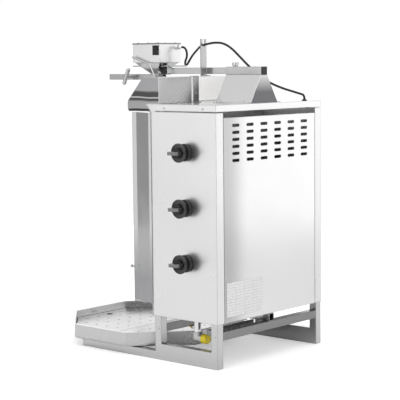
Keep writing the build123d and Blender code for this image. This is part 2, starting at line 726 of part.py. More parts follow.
def clamp_screw():
    """The knurled screw that locks the arm in its sleeve."""
    shank = rod_z(0, CLAMP_Y, CLAMP_RADIUS, ARM_SLIDE_Z + ARM / 2 + 0.2, SLEEVE_TOP + 4)
    head = rod_z(0, CLAMP_Y, CLAMP_HEAD_RADIUS, SLEEVE_TOP + 3.4, SLEEVE_TOP + 13)
    head = chamfer(head.edges().group_by(Axis.Z)[-1], 1.2)
    notch = rod_z(CLAMP_HEAD_RADIUS + 0.9, 0, 1.6, SLEEVE_TOP, SLEEVE_TOP + 14)
    turns = [360 / CLAMP_NOTCHES * i for i in range(CLAMP_NOTCHES)]
    return shank + (head - [Pos(0, CLAMP_Y, 0) * Rot(0, 0, turn) * notch for turn in turns])


def sleeve_cap():
    """The black plug in the back end of the sleeve."""
    face_x = (-SLEEVE / 2, SLEEVE / 2)
    face = block(face_x, (SLEEVE_BACK, SLEEVE_BACK + 3), (SLEEVE_TOP - SLEEVE, SLEEVE_TOP))
    face = fillet(face.edges().group_by(Axis.Y)[-1], 1)
    half = SLEEVE / 2 - SLEEVE_WALL - 0.2
    plug_z = (ARM_SLIDE_Z - half, ARM_SLIDE_Z + half)
    plug = block((-half, half), (SLEEVE_BACK - 10, SLEEVE_BACK), plug_z)
    return face + plug


ARM_REAR = -102.0
ARM_END = -448.0
FERRULE_Y = (-441.0, -418.0)


def arm_tube():
    """The sliding upper arm."""
    return square_tube(ARM / 2, TUBE_WALL, (ARM_END, ARM_REAR))


def arm_ferrule():
    """The black collar round the arm, just behind the motor bracket."""
    return square_tube(ARM / 2 + 1.8, 1.75, FERRULE_Y)


nodes["sleeve_tube"] = sleeve_tube()
nodes["sleeve_cap"] = sleeve_cap()
nodes["clamp_screw"] = clamp_screw()
nodes["arm_tube"] = arm_tube()
nodes["arm_ferrule"] = arm_ferrule()

# Motor carriage

HOPPER_TOP_X = 45.0
HOPPER_TOP_Y = 55.0
HOPPER_NECK = 14.5
HOPPER_NECK_TOP = 868.0
HOPPER_BOTTOM = 849.0
HOPPER_SHEET = 1.5
ROD_X = 22.0
ROD_Z = 892.0
ROD_RADIUS = 2.2
ROD_Y = (-556.0, -322.0)
NUT_Y = (-404.0, -397.0)


def hopper_shape(inset, low, high):
    """A square neck that widens upwards to the motor box."""
    half = HOPPER_NECK - inset
    neck = Plane.XY.offset(HOPPER_NECK_TOP) * Rectangle(2 * half, 2 * half)
    mouth_size = (2 * (HOPPER_TOP_X - inset), 2 * (HOPPER_TOP_Y - inset))
    mouth = Plane.XY.offset(high) * Rectangle(*mouth_size)
    shape = loft([neck, mouth])
    shape += block((-half, half), (-half, half), (low, HOPPER_NECK_TOP))
    return Pos(0, SPIT_Y, 0) * shape


def motor_bracket():
    """The funnel-shaped bracket between the arm and the motor box."""
    shell = hopper_shape(0, HOPPER_BOTTOM, MOTOR_BOX_BOTTOM)
    shell -= hopper_shape(HOPPER_SHEET, HOPPER_BOTTOM - 1, MOTOR_BOX_BOTTOM + 0.01)
    half = ARM / 2 + 2.1
    shell -= block((-half, half), (ARM_END, -400), (ARM_SLIDE_Z - half, ARM_SLIDE_Z + half))
    return shell - rod_y(ROD_X, ROD_Z, ROD_RADIUS + 0.4, -540, -400)


nodes["motor_bracket"] = motor_bracket()

SWITCH_Y = -428.0
SWITCH_Z = 942.5
GLAND_X = -36.0
GLAND_Z = 952.0
BOX_BACK = SPIT_Y + MOTOR_BOX_Y
GLAND_END = BOX_BACK + 18
SWITCH_HOLE_Y = 11.2
SWITCH_HOLE_Z = 13.8
SHAFT_RADIUS = 6.0
SOCKET_BOTTOM = 838.0
SOCKET_TOP = 864.0
SOCKET_DEPTH = 18.0
LID_SCREW_X = 40.0
LID_SCREW_PITCH = 44.0
SPIT_HALF = 6.0
SPIT_BOTTOM = 137.5
SPIT_TOP = SOCKET_BOTTOM + SOCKET_DEPTH - 0.5
PIVOT_RADIUS = 4.9
DISC_Z = 176.0
DISC_RADIUS = 55.0


def motor_box():
    """The open-topped sheet box round the gear motor."""
    y = (SPIT_Y - MOTOR_BOX_Y, BOX_BACK)
    z = (MOTOR_BOX_BOTTOM, MOTOR_BOX_TOP - 1.5)
    box = block((-MOTOR_BOX_X, MOTOR_BOX_X), y, z)
    box = fillet(box.edges().filter_by(Axis.Z), 1.5)
    inner_x = MOTOR_BOX_X - SHEET
    box -= block((-inner_x, inner_x), (y[0] + SHEET, y[1] - SHEET), (z[0] + SHEET, z[1] + 1))
    box -= rod_z(0, SPIT_Y, 12, z[0] - 1, z[0] + 3)
    hole_y = (SWITCH_Y - SWITCH_HOLE_Y, SWITCH_Y + SWITCH_HOLE_Y)
    hole_z = (SWITCH_Z - SWITCH_HOLE_Z, SWITCH_Z + SWITCH_HOLE_Z)
    box -= block((MOTOR_BOX_X - 3, MOTOR_BOX_X + 1), hole_y, hole_z)
    return box - rod_y(GLAND_X, GLAND_Z, 6, y[1] - 3, y[1] + 1)


def motor_lid():
    """The lid with its short edge and six screws."""
    x = MOTOR_BOX_X + 0.9
    y = (SPIT_Y - MOTOR_BOX_Y - 0.9, BOX_BACK + 0.9)
    lid = block((-x, x), y, (MOTOR_BOX_TOP - 4.5, MOTOR_BOX_TOP))
    lid = fillet(lid.edges().group_by(Axis.Z)[-1], 0.8)
    rim_x = MOTOR_BOX_X + 0.05
    rim_y = (y[0] + 0.85, y[1] - 0.85)
    lid -= block((-rim_x, rim_x), rim_y, (MOTOR_BOX_TOP - 6, MOTOR_BOX_TOP - 1.5))
    for side_x in (-1, 1):
        for place in (-1, 0, 1):
            screw_x = side_x * LID_SCREW_X
            screw_y = SPIT_Y + place * LID_SCREW_PITCH
            screw_z = (MOTOR_BOX_TOP - 1, MOTOR_BOX_TOP + 1.8)
            screw = rod_z(screw_x, screw_y, SCREW_HEAD_RADIUS, *screw_z)
            lid += fillet(screw.edges().group_by(Axis.Z)[-1], 1.2)
    return lid


def gear_motor():
    """The gearbox with its motor can on top."""
    gearbox = block((-30, 30), (SPIT_Y - 34, SPIT_Y + 26), (MOTOR_BOX_BOTTOM + SHEET, 930))
    gearbox = fillet(gearbox.edges().filter_by(Axis.Z), 8)
    can = rod_z(0, SPIT_Y - 4, 25, 930, 957)
    can = fillet(can.edges().group_by(Axis.Z)[-1], 2)
    return gearbox + can - rod_z(0, SPIT_Y, SHAFT_RADIUS + 0.3, 900, 925)


def drive_socket():
    """The output shaft with the square socket that turns the spit."""
    shaft = rod_z(0, SPIT_Y, SHAFT_RADIUS, 860, 922)
    socket = rod_z(0, SPIT_Y, 12, SOCKET_BOTTOM, SOCKET_TOP)
    socket = chamfer(socket.edges().group_by(Axis.Z)[0], 1.5)
    half = SPIT_HALF + 0.3
    recess_z = (SOCKET_BOTTOM - 1, SOCKET_BOTTOM + SOCKET_DEPTH)
    return shaft + socket - block((-half, half), (SPIT_Y - half, SPIT_Y + half), recess_z)


def spit():
    """The square spit with its round pivot at the foot."""
    y = (SPIT_Y - SPIT_HALF, SPIT_Y + SPIT_HALF)
    bar = block((-SPIT_HALF, SPIT_HALF), y, (SPIT_BOTTOM + 14, SPIT_TOP))
    bar = chamfer(bar.edges().group_by(Axis.Z)[-1], 1.5)
    return bar + rod_z(0, SPIT_Y, PIVOT_RADIUS, SPIT_BOTTOM, SPIT_BOTTOM + 14)


def spit_disc():
    """The loading disc that the meat stands on, with its hub."""
    disc = rod_z(0, SPIT_Y, DISC_RADIUS, DISC_Z, DISC_Z + 3)
    disc = fillet(disc.edges(), 1)
    disc += rod_z(0, SPIT_Y, 12, DISC_Z - 14, DISC_Z)
    half = SPIT_HALF + 0.02
    return disc - block((-half, half), (SPIT_Y - half, SPIT_Y + half), (DISC_Z - 15, DISC_Z + 4))


nodes["motor_box"] = motor_box()
nodes["motor_lid"] = motor_lid()
nodes["gear_motor"] = gear_motor()
nodes["drive_socket"] = drive_socket()
nodes["spit"] = spit()
nodes["spit_disc"] = spit_disc()


def switch_body():
    """The rocker switch's bezel and body, set in the side of the motor box."""
    y = (SWITCH_Y - 13, SWITCH_Y + 13)
    z = (SWITCH_Z - 15.5, SWITCH_Z + 15.5)
    bezel = block((MOTOR_BOX_X, MOTOR_BOX_X + 2.2), y, z)
    bezel = fillet(bezel.edges().group_by(Axis.X)[-1], 0.8)
    body_y = (SWITCH_Y - 11, SWITCH_Y + 11)
    body_z = (SWITCH_Z - 13.6, SWITCH_Z + 13.6)
    body = block((MOTOR_BOX_X - 16, MOTOR_BOX_X + 0.5), body_y, body_z)
    pocket_y = (SWITCH_Y - 9.3, SWITCH_Y + 9.3)
    pocket_z = (SWITCH_Z - 12.2, SWITCH_Z + 12.2)
    return bezel + body - block((MOTOR_BOX_X - 5, MOTOR_BOX_X + 3), pocket_y, pocket_z)


ROCKER_TILT = 9.0
ROCKER_PIVOT_X = MOTOR_BOX_X + 1.0


def switch_rocker():
    """The rocker, tilted to its off position."""
    half = 11.2
    face = [(1.8, -half), (2.6, -half / 2), (2.2, 0), (2.6, half / 2), (1.8, half)]
    outline = [(-2.4, -half), *face, (-2.4, half)]
    rocker = profile_y(outline, -9, 9)
    return Pos(ROCKER_PIVOT_X, SWITCH_Y, SWITCH_Z) * Rot(0, ROCKER_TILT, 0) * rocker


def cable_gland():
    """The metal gland that the motor cable leaves the box through."""
    hexagon = Pos(GLAND_X, BOX_BACK, GLAND_Z) * Rot(-90, 0, 0) * extrude(RegularPolygon(9, 6), 5)
    nut = rod_y(GLAND_X, GLAND_Z, 7.2, BOX_BACK + 5, BOX_BACK + 13)
    nut = fillet(nut.edges().group_by(Axis.Y)[-1], 2)
    lip = Pos(GLAND_X, BOX_BACK + 15.5, GLAND_Z) * Rot(-90, 0, 0) * Cone(5, CABLE_DIAMETER / 2, 5)
    return hexagon + nut + lip + rod_y(GLAND_X, GLAND_Z, 5.8, BOX_BACK - 6, BOX_BACK)


nodes["switch_body"] = switch_body()
nodes["switch_rocker"] = switch_rocker()
nodes["cable_gland"] = cable_gland()

HANDLE_X = (HOPPER_NECK, HOPPER_NECK + 18)
HANDLE_Z = (848.0, 866.5)
HANDLE_Y = (-655.0, -416.0)
T_HANDLE_Y = -551.0
LEVER_Y = -424.0
LEVER_ROD_RADIUS = 3.0
T_HANDLE_LEAN = -24.0
T_HANDLE_HALF = 23.0
T_HANDLE_RADIUS = 6.5
GRIP_X = 59.5
BAR_WALL = 1.5


def handle_bar():
    """The bar along the front of the carriage, by which the spit is pushed in and out."""
    bar = block(HANDLE_X, HANDLE_Y, HANDLE_Z)
    bar = fillet(bar.edges().filter_by(Axis.Y), 1.5)
    hollow_x = (HANDLE_X[0] + BAR_WALL, HANDLE_X[1] - BAR_WALL)
    hollow_z = (HANDLE_Z[0] + BAR_WALL, HANDLE_Z[1] - BAR_WALL)
    bar -= block(hollow_x, (HANDLE_Y[0] - 1, HANDLE_Y[1] + 1), hollow_z)
    for y, radius in ((T_HANDLE_Y, 4.06), (LEVER_Y, 5.06)):
        bar -= rod_x(y, sum(HANDLE_Z) / 2, radius, HANDLE_X[0] - 1, HANDLE_X[1] + 1)
    return bar


def t_handle():
    """The T-handled clamp screw through the bar."""
    z = sum(HANDLE_Z) / 2
    screw = rod_x(T_HANDLE_Y, z, 4, HANDLE_X[0] + 0.5, GRIP_X)
    collar = rod_x(T_HANDLE_Y, z, 7, HANDLE_X[1] + 0.4, 46)
    grip = Cylinder(T_HANDLE_RADIUS, 2 * T_HANDLE_HALF)
    for end in (-T_HANDLE_HALF, T_HANDLE_HALF):
        grip += Pos(0, 0, end) * Sphere(T_HANDLE_RADIUS)
    return screw + collar + Pos(GRIP_X, T_HANDLE_Y, z + 2) * Rot(T_HANDLE_LEAN, 0, 0) * grip


nodes["handle_bar"] = handle_bar()
nodes["t_handle"] = t_handle()


def cam_lever():
    """The bent locking lever beside the motor box."""
    z = sum(HANDLE_Z) / 2
    hub = rod_x(LEVER_Y, z, 5, HANDLE_X[0] + 0.5, GRIP_X + 4)
    hub += rod_x(LEVER_Y, z, 8, HANDLE_X[1] + 0.4, 46)
    route = [(GRIP_X, LEVER_Y, z), (GRIP_X, LEVER_Y - 20, 897), (GRIP_X, LEVER_Y - 95, 921)]
    path = FilletPolyline(*route, radius=16)
    start = Plane(origin=route[0], z_dir=path % 0)
    rod = sweep(start * Circle(LEVER_ROD_RADIUS), path=path)
    return hub + rod + Pos(*route[-1]) * Sphere(4.2)


nodes["cam_lever"] = cam_lever()


def adjusting_screw():
    """The thin stop rod through the bracket, with its wing nut."""
    start, end = NUT_Y
    screw = rod_y(ROD_X, ROD_Z, ROD_RADIUS, *ROD_Y) + rod_y(ROD_X, ROD_Z, 4.5, start, end)
    for side in (-1, 1):
        middle = ROD_Z + 6 * side
        wing = block((ROD_X - 1.2, ROD_X + 1.2), (start + 1, end - 1), (middle - 4, middle + 4))
        screw += fillet(wing.edges().filter_by(Axis.X), 1.8)
    return screw


nodes["adjusting_screw"] = adjusting_screw()

# Lower arm and spit bearing

LOWER_ARM_TOP = LOWER_ARM_BOTTOM + LOWER_ARM


def lower_arm():
    """The sliding tube under the housing that carries the foot of the spit."""
    half = LOWER_ARM / 2
    y = (-LOWER_ARM_LENGTH, -0.5)
    tube = block((-half, half), y, (LOWER_ARM_BOTTOM, LOWER_ARM_TOP))
    inner = half - TUBE_WALL
    hollow_z = (LOWER_ARM_BOTTOM + TUBE_WALL, LOWER_ARM_TOP - TUBE_WALL)
    return tube - block((-inner, inner), (y[0] - 1, y[1] + 1), hollow_z)


def bottom_bearing():
    """The cup with the bush that the spit's pivot turns in."""
    cup = rod_z(0, SPIT_Y, 17, LOWER_ARM_TOP, LOWER_ARM_TOP + 4)
    cup += cone_z(0, SPIT_Y, 13, 10, LOWER_ARM_TOP + 4, LOWER_ARM_TOP + 15)
    return cup - rod_z(0, SPIT_Y, PIVOT_RADIUS + RUNNING_GAP, SPIT_BOTTOM - 1, LOWER_ARM_TOP + 16)


nodes["lower_arm"] = lower_arm()
nodes["bottom_bearing"] = bottom_bearing()

# Cable fork, strain relief and motor cable

FORK_TOP = 975.0
FORK_HALF = 13.0
FORK_SLOT = 5.0
FORK_SLOT_BOTTOM = 955.0
CABLE_END = CAP_TOP + 6


def cable_fork():
    """The slotted post that holds the motor cable clear of the hood."""
    x = (FORK_X - FORK_HALF, FORK_X + FORK_HALF)
    post = block(x, (FORK_Y - 1.5, FORK_Y + 1.5), (HOOD_TOP, FORK_TOP))
    post += block(x, (FORK_Y - 1.5, FORK_Y + 17), (HOOD_TOP, HOOD_TOP + 3))
    slot_y = (FORK_Y - 3, FORK_Y + 3)
    slot_x = (FORK_X - FORK_SLOT, FORK_X + FORK_SLOT)
    slot = block(slot_x, slot_y, (FORK_SLOT_BOTTOM, FORK_TOP + 1))
    slot += rod_y(FORK_X, FORK_SLOT_BOTTOM, FORK_SLOT, *slot_y)
    bolt = rod_z(FORK_X, FORK_Y + 9, 4.5, HOOD_TOP + 3, HOOD_TOP + 7)
    return post - slot + bolt


nodes["cable_fork"] = cable_fork()


def cable_grommet():
    """The tapered rubber boot where the motor cable enters the cap."""
    boot = rod_z(GROMMET_X, GROMMET_Y, 9, CAP_TOP, CAP_TOP + 2)
    boot += cone_z(GROMMET_X, GROMMET_Y, 7.5, 4, CAP_TOP + 2, CABLE_END)
    boot += rod_z(GROMMET_X, GROMMET_Y, 5.7, CAP_TOP - 5, CAP_TOP)
    return boot


nodes["cable_grommet"] = cable_grommet()

CABLE_ROUTE = [
    (GLAND_X, GLAND_END, GLAND_Z),
    (-36, -380, GLAND_Z),
    (-36, -371, 936),
    (-36, -371, 921),
    (-35, -377, 908),
    (-32, -376, 897),
    (-27, -367, 892),
    (-19, -350, 902),
    (-7, -323, 924),
    (12, -279, 947),
    (24, -256, 955),
    (26, -234, 959),
    (17, -208, 964),
    (4, -184, 962),
    (-6, -160, 947),
    (-14, -134, 921),
    (-26, -110, 893),
    (-46, -88, 865),
    (-70, -72, 844),
    (-97, -59, 830),
    (-125, -47, 819),
    (-153, -36, 810.5),
    (-178, -27, 803),
    (GROMMET_X, GROMMET_Y, CABLE_END + 12),
    (GROMMET_X, GROMMET_Y, CABLE_END),
]


def cable_radii(route):
    """The largest bend that each corner of the route has room for."""
    points = [Vector(*point) for point in route]
    radii = []
    for before, here, after in zip(points, points[1:], points[2:]):
        turn = (here - before).get_angle(after - here)
        shorter = min((here - before).length, (after - here).length)
        radii.append(0.45 * shorter / tan(radians(turn / 2)))
    return radii


def motor_cable():
    """The cable from the motor box, through the fork, to the boot on the cap."""
    path = FilletPolyline(*CABLE_ROUTE, radius=cable_radii(CABLE_ROUTE))
    start = Plane(origin=CABLE_ROUTE[0], z_dir=path % 0)
    return sweep(start * Circle(CABLE_DIAMETER / 2), path=path), path.length


nodes["motor_cable"], cable_length = motor_cable()
print("cable length", round(cable_length, 1))
print("cable radii", [round(radius, 1) for radius in cable_radii(CABLE_ROUTE)])
cable_section = pi * (CABLE_DIAMETER / 2) ** 2
print("cable volume ratio", round(nodes["motor_cable"].volume / (cable_section * cable_length), 4))

# Drip tray and its perforated plates


def octagon(inset, front=TRAY_FRONT, back=TRAY_BACK):
    """The tray's outline, drawn in by a distance and cut off at front and back."""
    half = TRAY_HALF - inset
    corner = TRAY_HALF - TRAY_CHAMFER - inset * tan(radians(22.5))
    low = TRAY_FRONT + inset
    high = TRAY_BACK - inset
    shift = half - corner
    outline = profile_z(
        [
            (half, high - shift), (corner, high), (-corner, high), (-half, high - shift),
            (-half, low + shift), (-corner, low), (corner, low), (half, low + shift),
        ],
        0,
        1,
    )
    if (front, back) != (TRAY_FRONT, TRAY_BACK):
        outline &= block((-TRAY_HALF, TRAY_HALF), (front, back), (-1, 2))
    return outline


def prism(outline, z):
    """An outline of unit height stretched between two heights."""
    face = outline.faces().sort_by(Axis.Z)[0]
    return extrude(Pos(0, 0, z[0]) * face, z[1] - z[0], dir=(0, 0, 1))


BEND = 8.0


def drip_tray():
    """The folded octagonal pan with its turned-out rim."""
    pan = prism(octagon(0), (TRAY_BOTTOM, TRAY_TOP))
    pan = fillet(pan.edges().group_by(Axis.Z)[0], BEND)
    hollow = prism(octagon(SHEET), (TRAY_BOTTOM + SHEET, TRAY_TOP + 1))
    hollow = fillet(hollow.edges().group_by(Axis.Z)[0], BEND - SHEET)
    rim = prism(octagon(-TRAY_RIM), (TRAY_TOP - SHEET, TRAY_TOP))
    rim -= prism(octagon(0), (TRAY_TOP - SHEET - 1, TRAY_TOP + 1))
    return pan - hollow + rim


HOLE_PITCH_X = 52.0
HOLE_PITCH_Y = 48.0
HOLE_RADIUS = 3.4
FINGER_HOLE_Y = -706.0
SEAM_Y = -470.0
FINGER_HOLE_RADIUS = 11.0
LEG_X = 78.0
LEG_RADIUS = 4.0


def tray_plate(front, back):
    """Half of the perforated plate, standing on four legs in the pan."""
    plate = prism(octagon(4, front, back), (INSERT_Z, INSERT_Z + SHEET))
    holes = []
    for column in range(-4, 5):
        for row in range(11):
            x = column * HOLE_PITCH_X
            y = FINGER_HOLE_Y + row * HOLE_PITCH_Y
            reach = abs(x) + max(abs(y - (TRAY_FRONT + TRAY_BACK) / 2) - 110, 0)
            if front + 8 < y < back - 8 and reach < TRAY_HALF - 12:
                finger = column == 0 and row == 0
                radius = FINGER_HOLE_RADIUS if finger else HOLE_RADIUS
                holes.append(rod_z(x, y, radius, INSERT_Z - 1, INSERT_Z + 3))
    plate -= holes
    leg_z = (TRAY_BOTTOM + SHEET + 0.3, INSERT_Z + 0.5)
    for x in (-LEG_X, LEG_X):
        for y in (front + 46, back - 34):
            plate += rod_z(x, y, LEG_RADIUS, *leg_z)
    return plate


nodes["drip_tray"] = drip_tray()
nodes["tray_plate_front"] = tray_plate(TRAY_FRONT + 4, SEAM_Y - 1)
nodes["tray_plate_back"] = tray_plate(SEAM_Y + 1, TRAY_BACK - 4)

# Heat shields at the sides

PIN_X = 250.5
PIN_Y = -262.5
PIN_RADIUS = 2.5
WING_BOTTOM = 172.0
WING_TOP = 753.5
WING_TIP_X = 228.0
WING_FOLD_Y = -345.0
WING_EDGE_Y = -363.0
WING_KNOB_Z = 274.0
KNUCKLE_RADIUS = 4.2
KNUCKLE_LENGTH = 24.0


def wing():
    """A folded heat shield with hinge knuckles and a small pull knob on its free edge."""
    middle = HALF_WIDTH - SHEET / 2
    tip = [(WING_TIP_X, WING_FOLD_Y), (WING_TIP_X, WING_EDGE_Y)]
    fold = Polyline((middle, PIN_Y + 2), (middle, PIN_Y - 7.5), *tip)
    sheet = extrude(Pos(0, 0, WING_BOTTOM) * trace(fold, SHEET), WING_TOP - WING_BOTTOM)
    middle_z = (WING_BOTTOM + WING_TOP - KNUCKLE_LENGTH) / 2
    for low in (WING_BOTTOM, middle_z, WING_TOP - KNUCKLE_LENGTH):
        sheet += rod_z(PIN_X, PIN_Y, KNUCKLE_RADIUS, low, low + KNUCKLE_LENGTH)
    sheet -= rod_z(PIN_X, PIN_Y, PIN_RADIUS + RUNNING_GAP, WING_BOTTOM - 1, WING_TOP + 1)
    sheet += rod_y(WING_TIP_X, WING_KNOB_Z, 2.4, WING_EDGE_Y - 8, WING_EDGE_Y + 1)
    return sheet + Pos(WING_TIP_X, WING_EDGE_Y - 10, WING_KNOB_Z) * Sphere(5.5)


def wing_hinge():
    """The hinge pin held between two brackets on the front corner."""
    pin = rod_z(PIN_X, PIN_Y, PIN_RADIUS, PANEL_BOTTOM - 2, SIDE_PANEL_TOP)
    for low in (PANEL_BOTTOM, SIDE_PANEL_TOP - 1.8):
        pin += block((PIN_X - 8, HALF_WIDTH - 0.5), (PIN_Y - 5, HOUSING_FRONT), (low, low + 1.8))
    return pin


nodes["wing_right"] = wing()
nodes["wing_left"] = other_side(wing())
nodes["wing_hinges"] = both_sides(wing_hinge())

# Common origin and export

free_nodes = ("motor_cable",)
body_box = Compound([piece for name, piece in nodes.items() if name not in free_nodes]).bounding_box()
shift_x = -round((body_box.min.X + body_box.max.X) / 2, 2)
shift_y = -round((body_box.min.Y + body_box.max.Y) / 2, 2)
print("shift", shift_x, shift_y, "box", body_box.min, body_box.max)
for name, piece in nodes.items():
    export_step(Pos(shift_x, shift_y, 0) * piece, f"parts/{name}.step")
print(len(nodes), "nodes")
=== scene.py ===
"""Looks of the gas vertical rotisserie broiler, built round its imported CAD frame."""
import math

import bmesh
import bpy
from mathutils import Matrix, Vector


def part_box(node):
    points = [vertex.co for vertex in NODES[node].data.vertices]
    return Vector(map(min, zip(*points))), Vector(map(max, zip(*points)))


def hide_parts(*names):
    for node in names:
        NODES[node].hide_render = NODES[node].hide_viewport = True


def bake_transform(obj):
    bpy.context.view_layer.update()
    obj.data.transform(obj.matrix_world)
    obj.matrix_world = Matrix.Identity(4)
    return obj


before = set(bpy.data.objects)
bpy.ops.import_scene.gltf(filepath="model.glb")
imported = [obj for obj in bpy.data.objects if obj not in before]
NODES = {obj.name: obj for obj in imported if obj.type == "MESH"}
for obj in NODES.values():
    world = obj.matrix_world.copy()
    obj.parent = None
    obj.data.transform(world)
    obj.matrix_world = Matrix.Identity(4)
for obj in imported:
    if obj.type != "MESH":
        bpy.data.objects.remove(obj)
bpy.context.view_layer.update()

# Origin that the machine was designed from: middle of the back panel, on the floor
panel_low, panel_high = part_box("back_panel")
HOUSING = Vector(((panel_low.x + panel_high.x) / 2, panel_high.y, 0))

# ---------------------------------------------------------------- camera, world, lights

CAMERA_PLACE = HOUSING + Vector((3.2544, 2.5840, 0.9143))
CAMERA_TURN = (84.107, 0.551, 131.384)
CAMERA_LENS = 123.2

SKY_TOP = 0.45
STUDIO_LIGHT = 1.2
BACKDROP = 1.02        # what the camera itself sees behind the floor
LIGHTS_AIM = (0, 0, 0.5)
# (name, place, width and height, watts)
SOFTBOXES = [
    ("overhead", (0.6, 0.3, 3.4), (3.0, 3.0), 30),
    ("camera_side", (3.4, 0.2, 1.9), (1.6, 2.2), 9),
    ("back_side", (0.3, 3.6, 1.7), (2.2, 1.8), 9),
    ("spit_side", (-1.6, -3.2, 1.8), (1.6, 1.6), 6),
]


def add_camera():
    """The camera at the photograph's viewing angle."""
    data = bpy.data.cameras.new("camera")
    data.lens = CAMERA_LENS
    camera = bpy.data.objects.new("camera", data)
    camera.location = CAMERA_PLACE
    camera.rotation_euler = [math.radians(angle) for angle in CAMERA_TURN]
    bpy.context.scene.collection.objects.link(camera)
    bpy.context.scene.camera = camera


def add_world():
    """A white studio: plain white to the camera, with softly darker walls in reflections."""
    world = bpy.data.worlds.new("studio")
    bpy.context.scene.world = world
    world.use_nodes = True
    tree = world.node_tree
    tree.nodes.clear()
    direction = tree.nodes.new("ShaderNodeTexCoord").outputs["Generated"]
    # (towards, cosine where it starts, cosine where it is darkest, light left there)
    dark_walls = [
        ((0, 0, 1), 0.25, 1.0, SKY_TOP),
        ((0.13, -0.98, 0.02), 0.70, 0.97, 0.30),
        ((0.72, 0.66, 0.1), 0.93, 0.985, 0.12),
        ((0.55, -0.83, 0.0), 0.93, 0.985, 0.78),
        ((-0.58, 0.81, -0.02), 0.965, 0.995, 0.72),
    ]
    light = None
    for towards, start, end, left in dark_walls:
        dot = tree.nodes.new("ShaderNodeVectorMath")
        dot.operation = "DOT_PRODUCT"
        dot.inputs[1].default_value = Vector(towards).normalized()
        tree.links.new(direction, dot.inputs[0])
        fall = tree.nodes.new("ShaderNodeMapRange")
        fall.interpolation_type = "SMOOTHSTEP"
        for socket, value in zip(fall.inputs[1:5], (start, end, 1.0, left)):
            socket.default_value = value
        tree.links.new(dot.outputs["Value"], fall.inputs[0])
        if light is None:
            light = fall.outputs[0]
            continue
        product = tree.nodes.new("ShaderNodeMath")
        product.operation = "MULTIPLY"
        tree.links.new(light, product.inputs[0])
        tree.links.new(fall.outputs[0], product.inputs[1])
        light = product.outputs[0]
    studio = tree.nodes.new("ShaderNodeBackground")
    studio.inputs["Color"].default_value = (1, 1, 1, 1)
    level = tree.nodes.new("ShaderNodeMath")
    level.operation = "MULTIPLY"
    level.inputs[1].default_value = STUDIO_LIGHT
    tree.links.new(light, level.inputs[0])
    tree.links.new(level.outputs[0], studio.inputs["Strength"])
    plain = tree.nodes.new("ShaderNodeBackground")
    plain.inputs["Color"].default_value = (1, 1, 1, 1)
    plain.inputs["Strength"].default_value = BACKDROP
    path = tree.nodes.new("ShaderNodeLightPath")
    mix = tree.nodes.new("ShaderNodeMixShader")
    output = tree.nodes.new("ShaderNodeOutputWorld")
    tree.links.new(path.outputs["Is Camera Ray"], mix.inputs[0])
    tree.links.new(studio.outputs[0], mix.inputs[1])
    tree.links.new(plain.outputs[0], mix.inputs[2])
    tree.links.new(mix.outputs[0], output.inputs["Surface"])


def add_softbox(name, place, size, watts):
    """A large soft area light aimed at the middle of the machine."""
    data = bpy.data.lights.new(name, "AREA")
    data.shape = "RECTANGLE"
    data.size, data.size_y = size
    data.energy = watts
    light = bpy.data.objects.new(name, data)
    light.location = place
    light.rotation_euler = (Vector(LIGHTS_AIM) - Vector(place)).to_track_quat("-Z", "Y").to_euler()
    bpy.context.scene.collection.objects.link(light)


def add_lights():
    """One broad light overhead, one beside the camera and two low fills."""
    for softbox in SOFTBOXES:
        add_softbox(*softbox)


add_camera()
add_world()
add_lights()
bpy.context.scene.view_settings.view_transform = "Standard"

# ---------------------------------------------------------------- material helpers


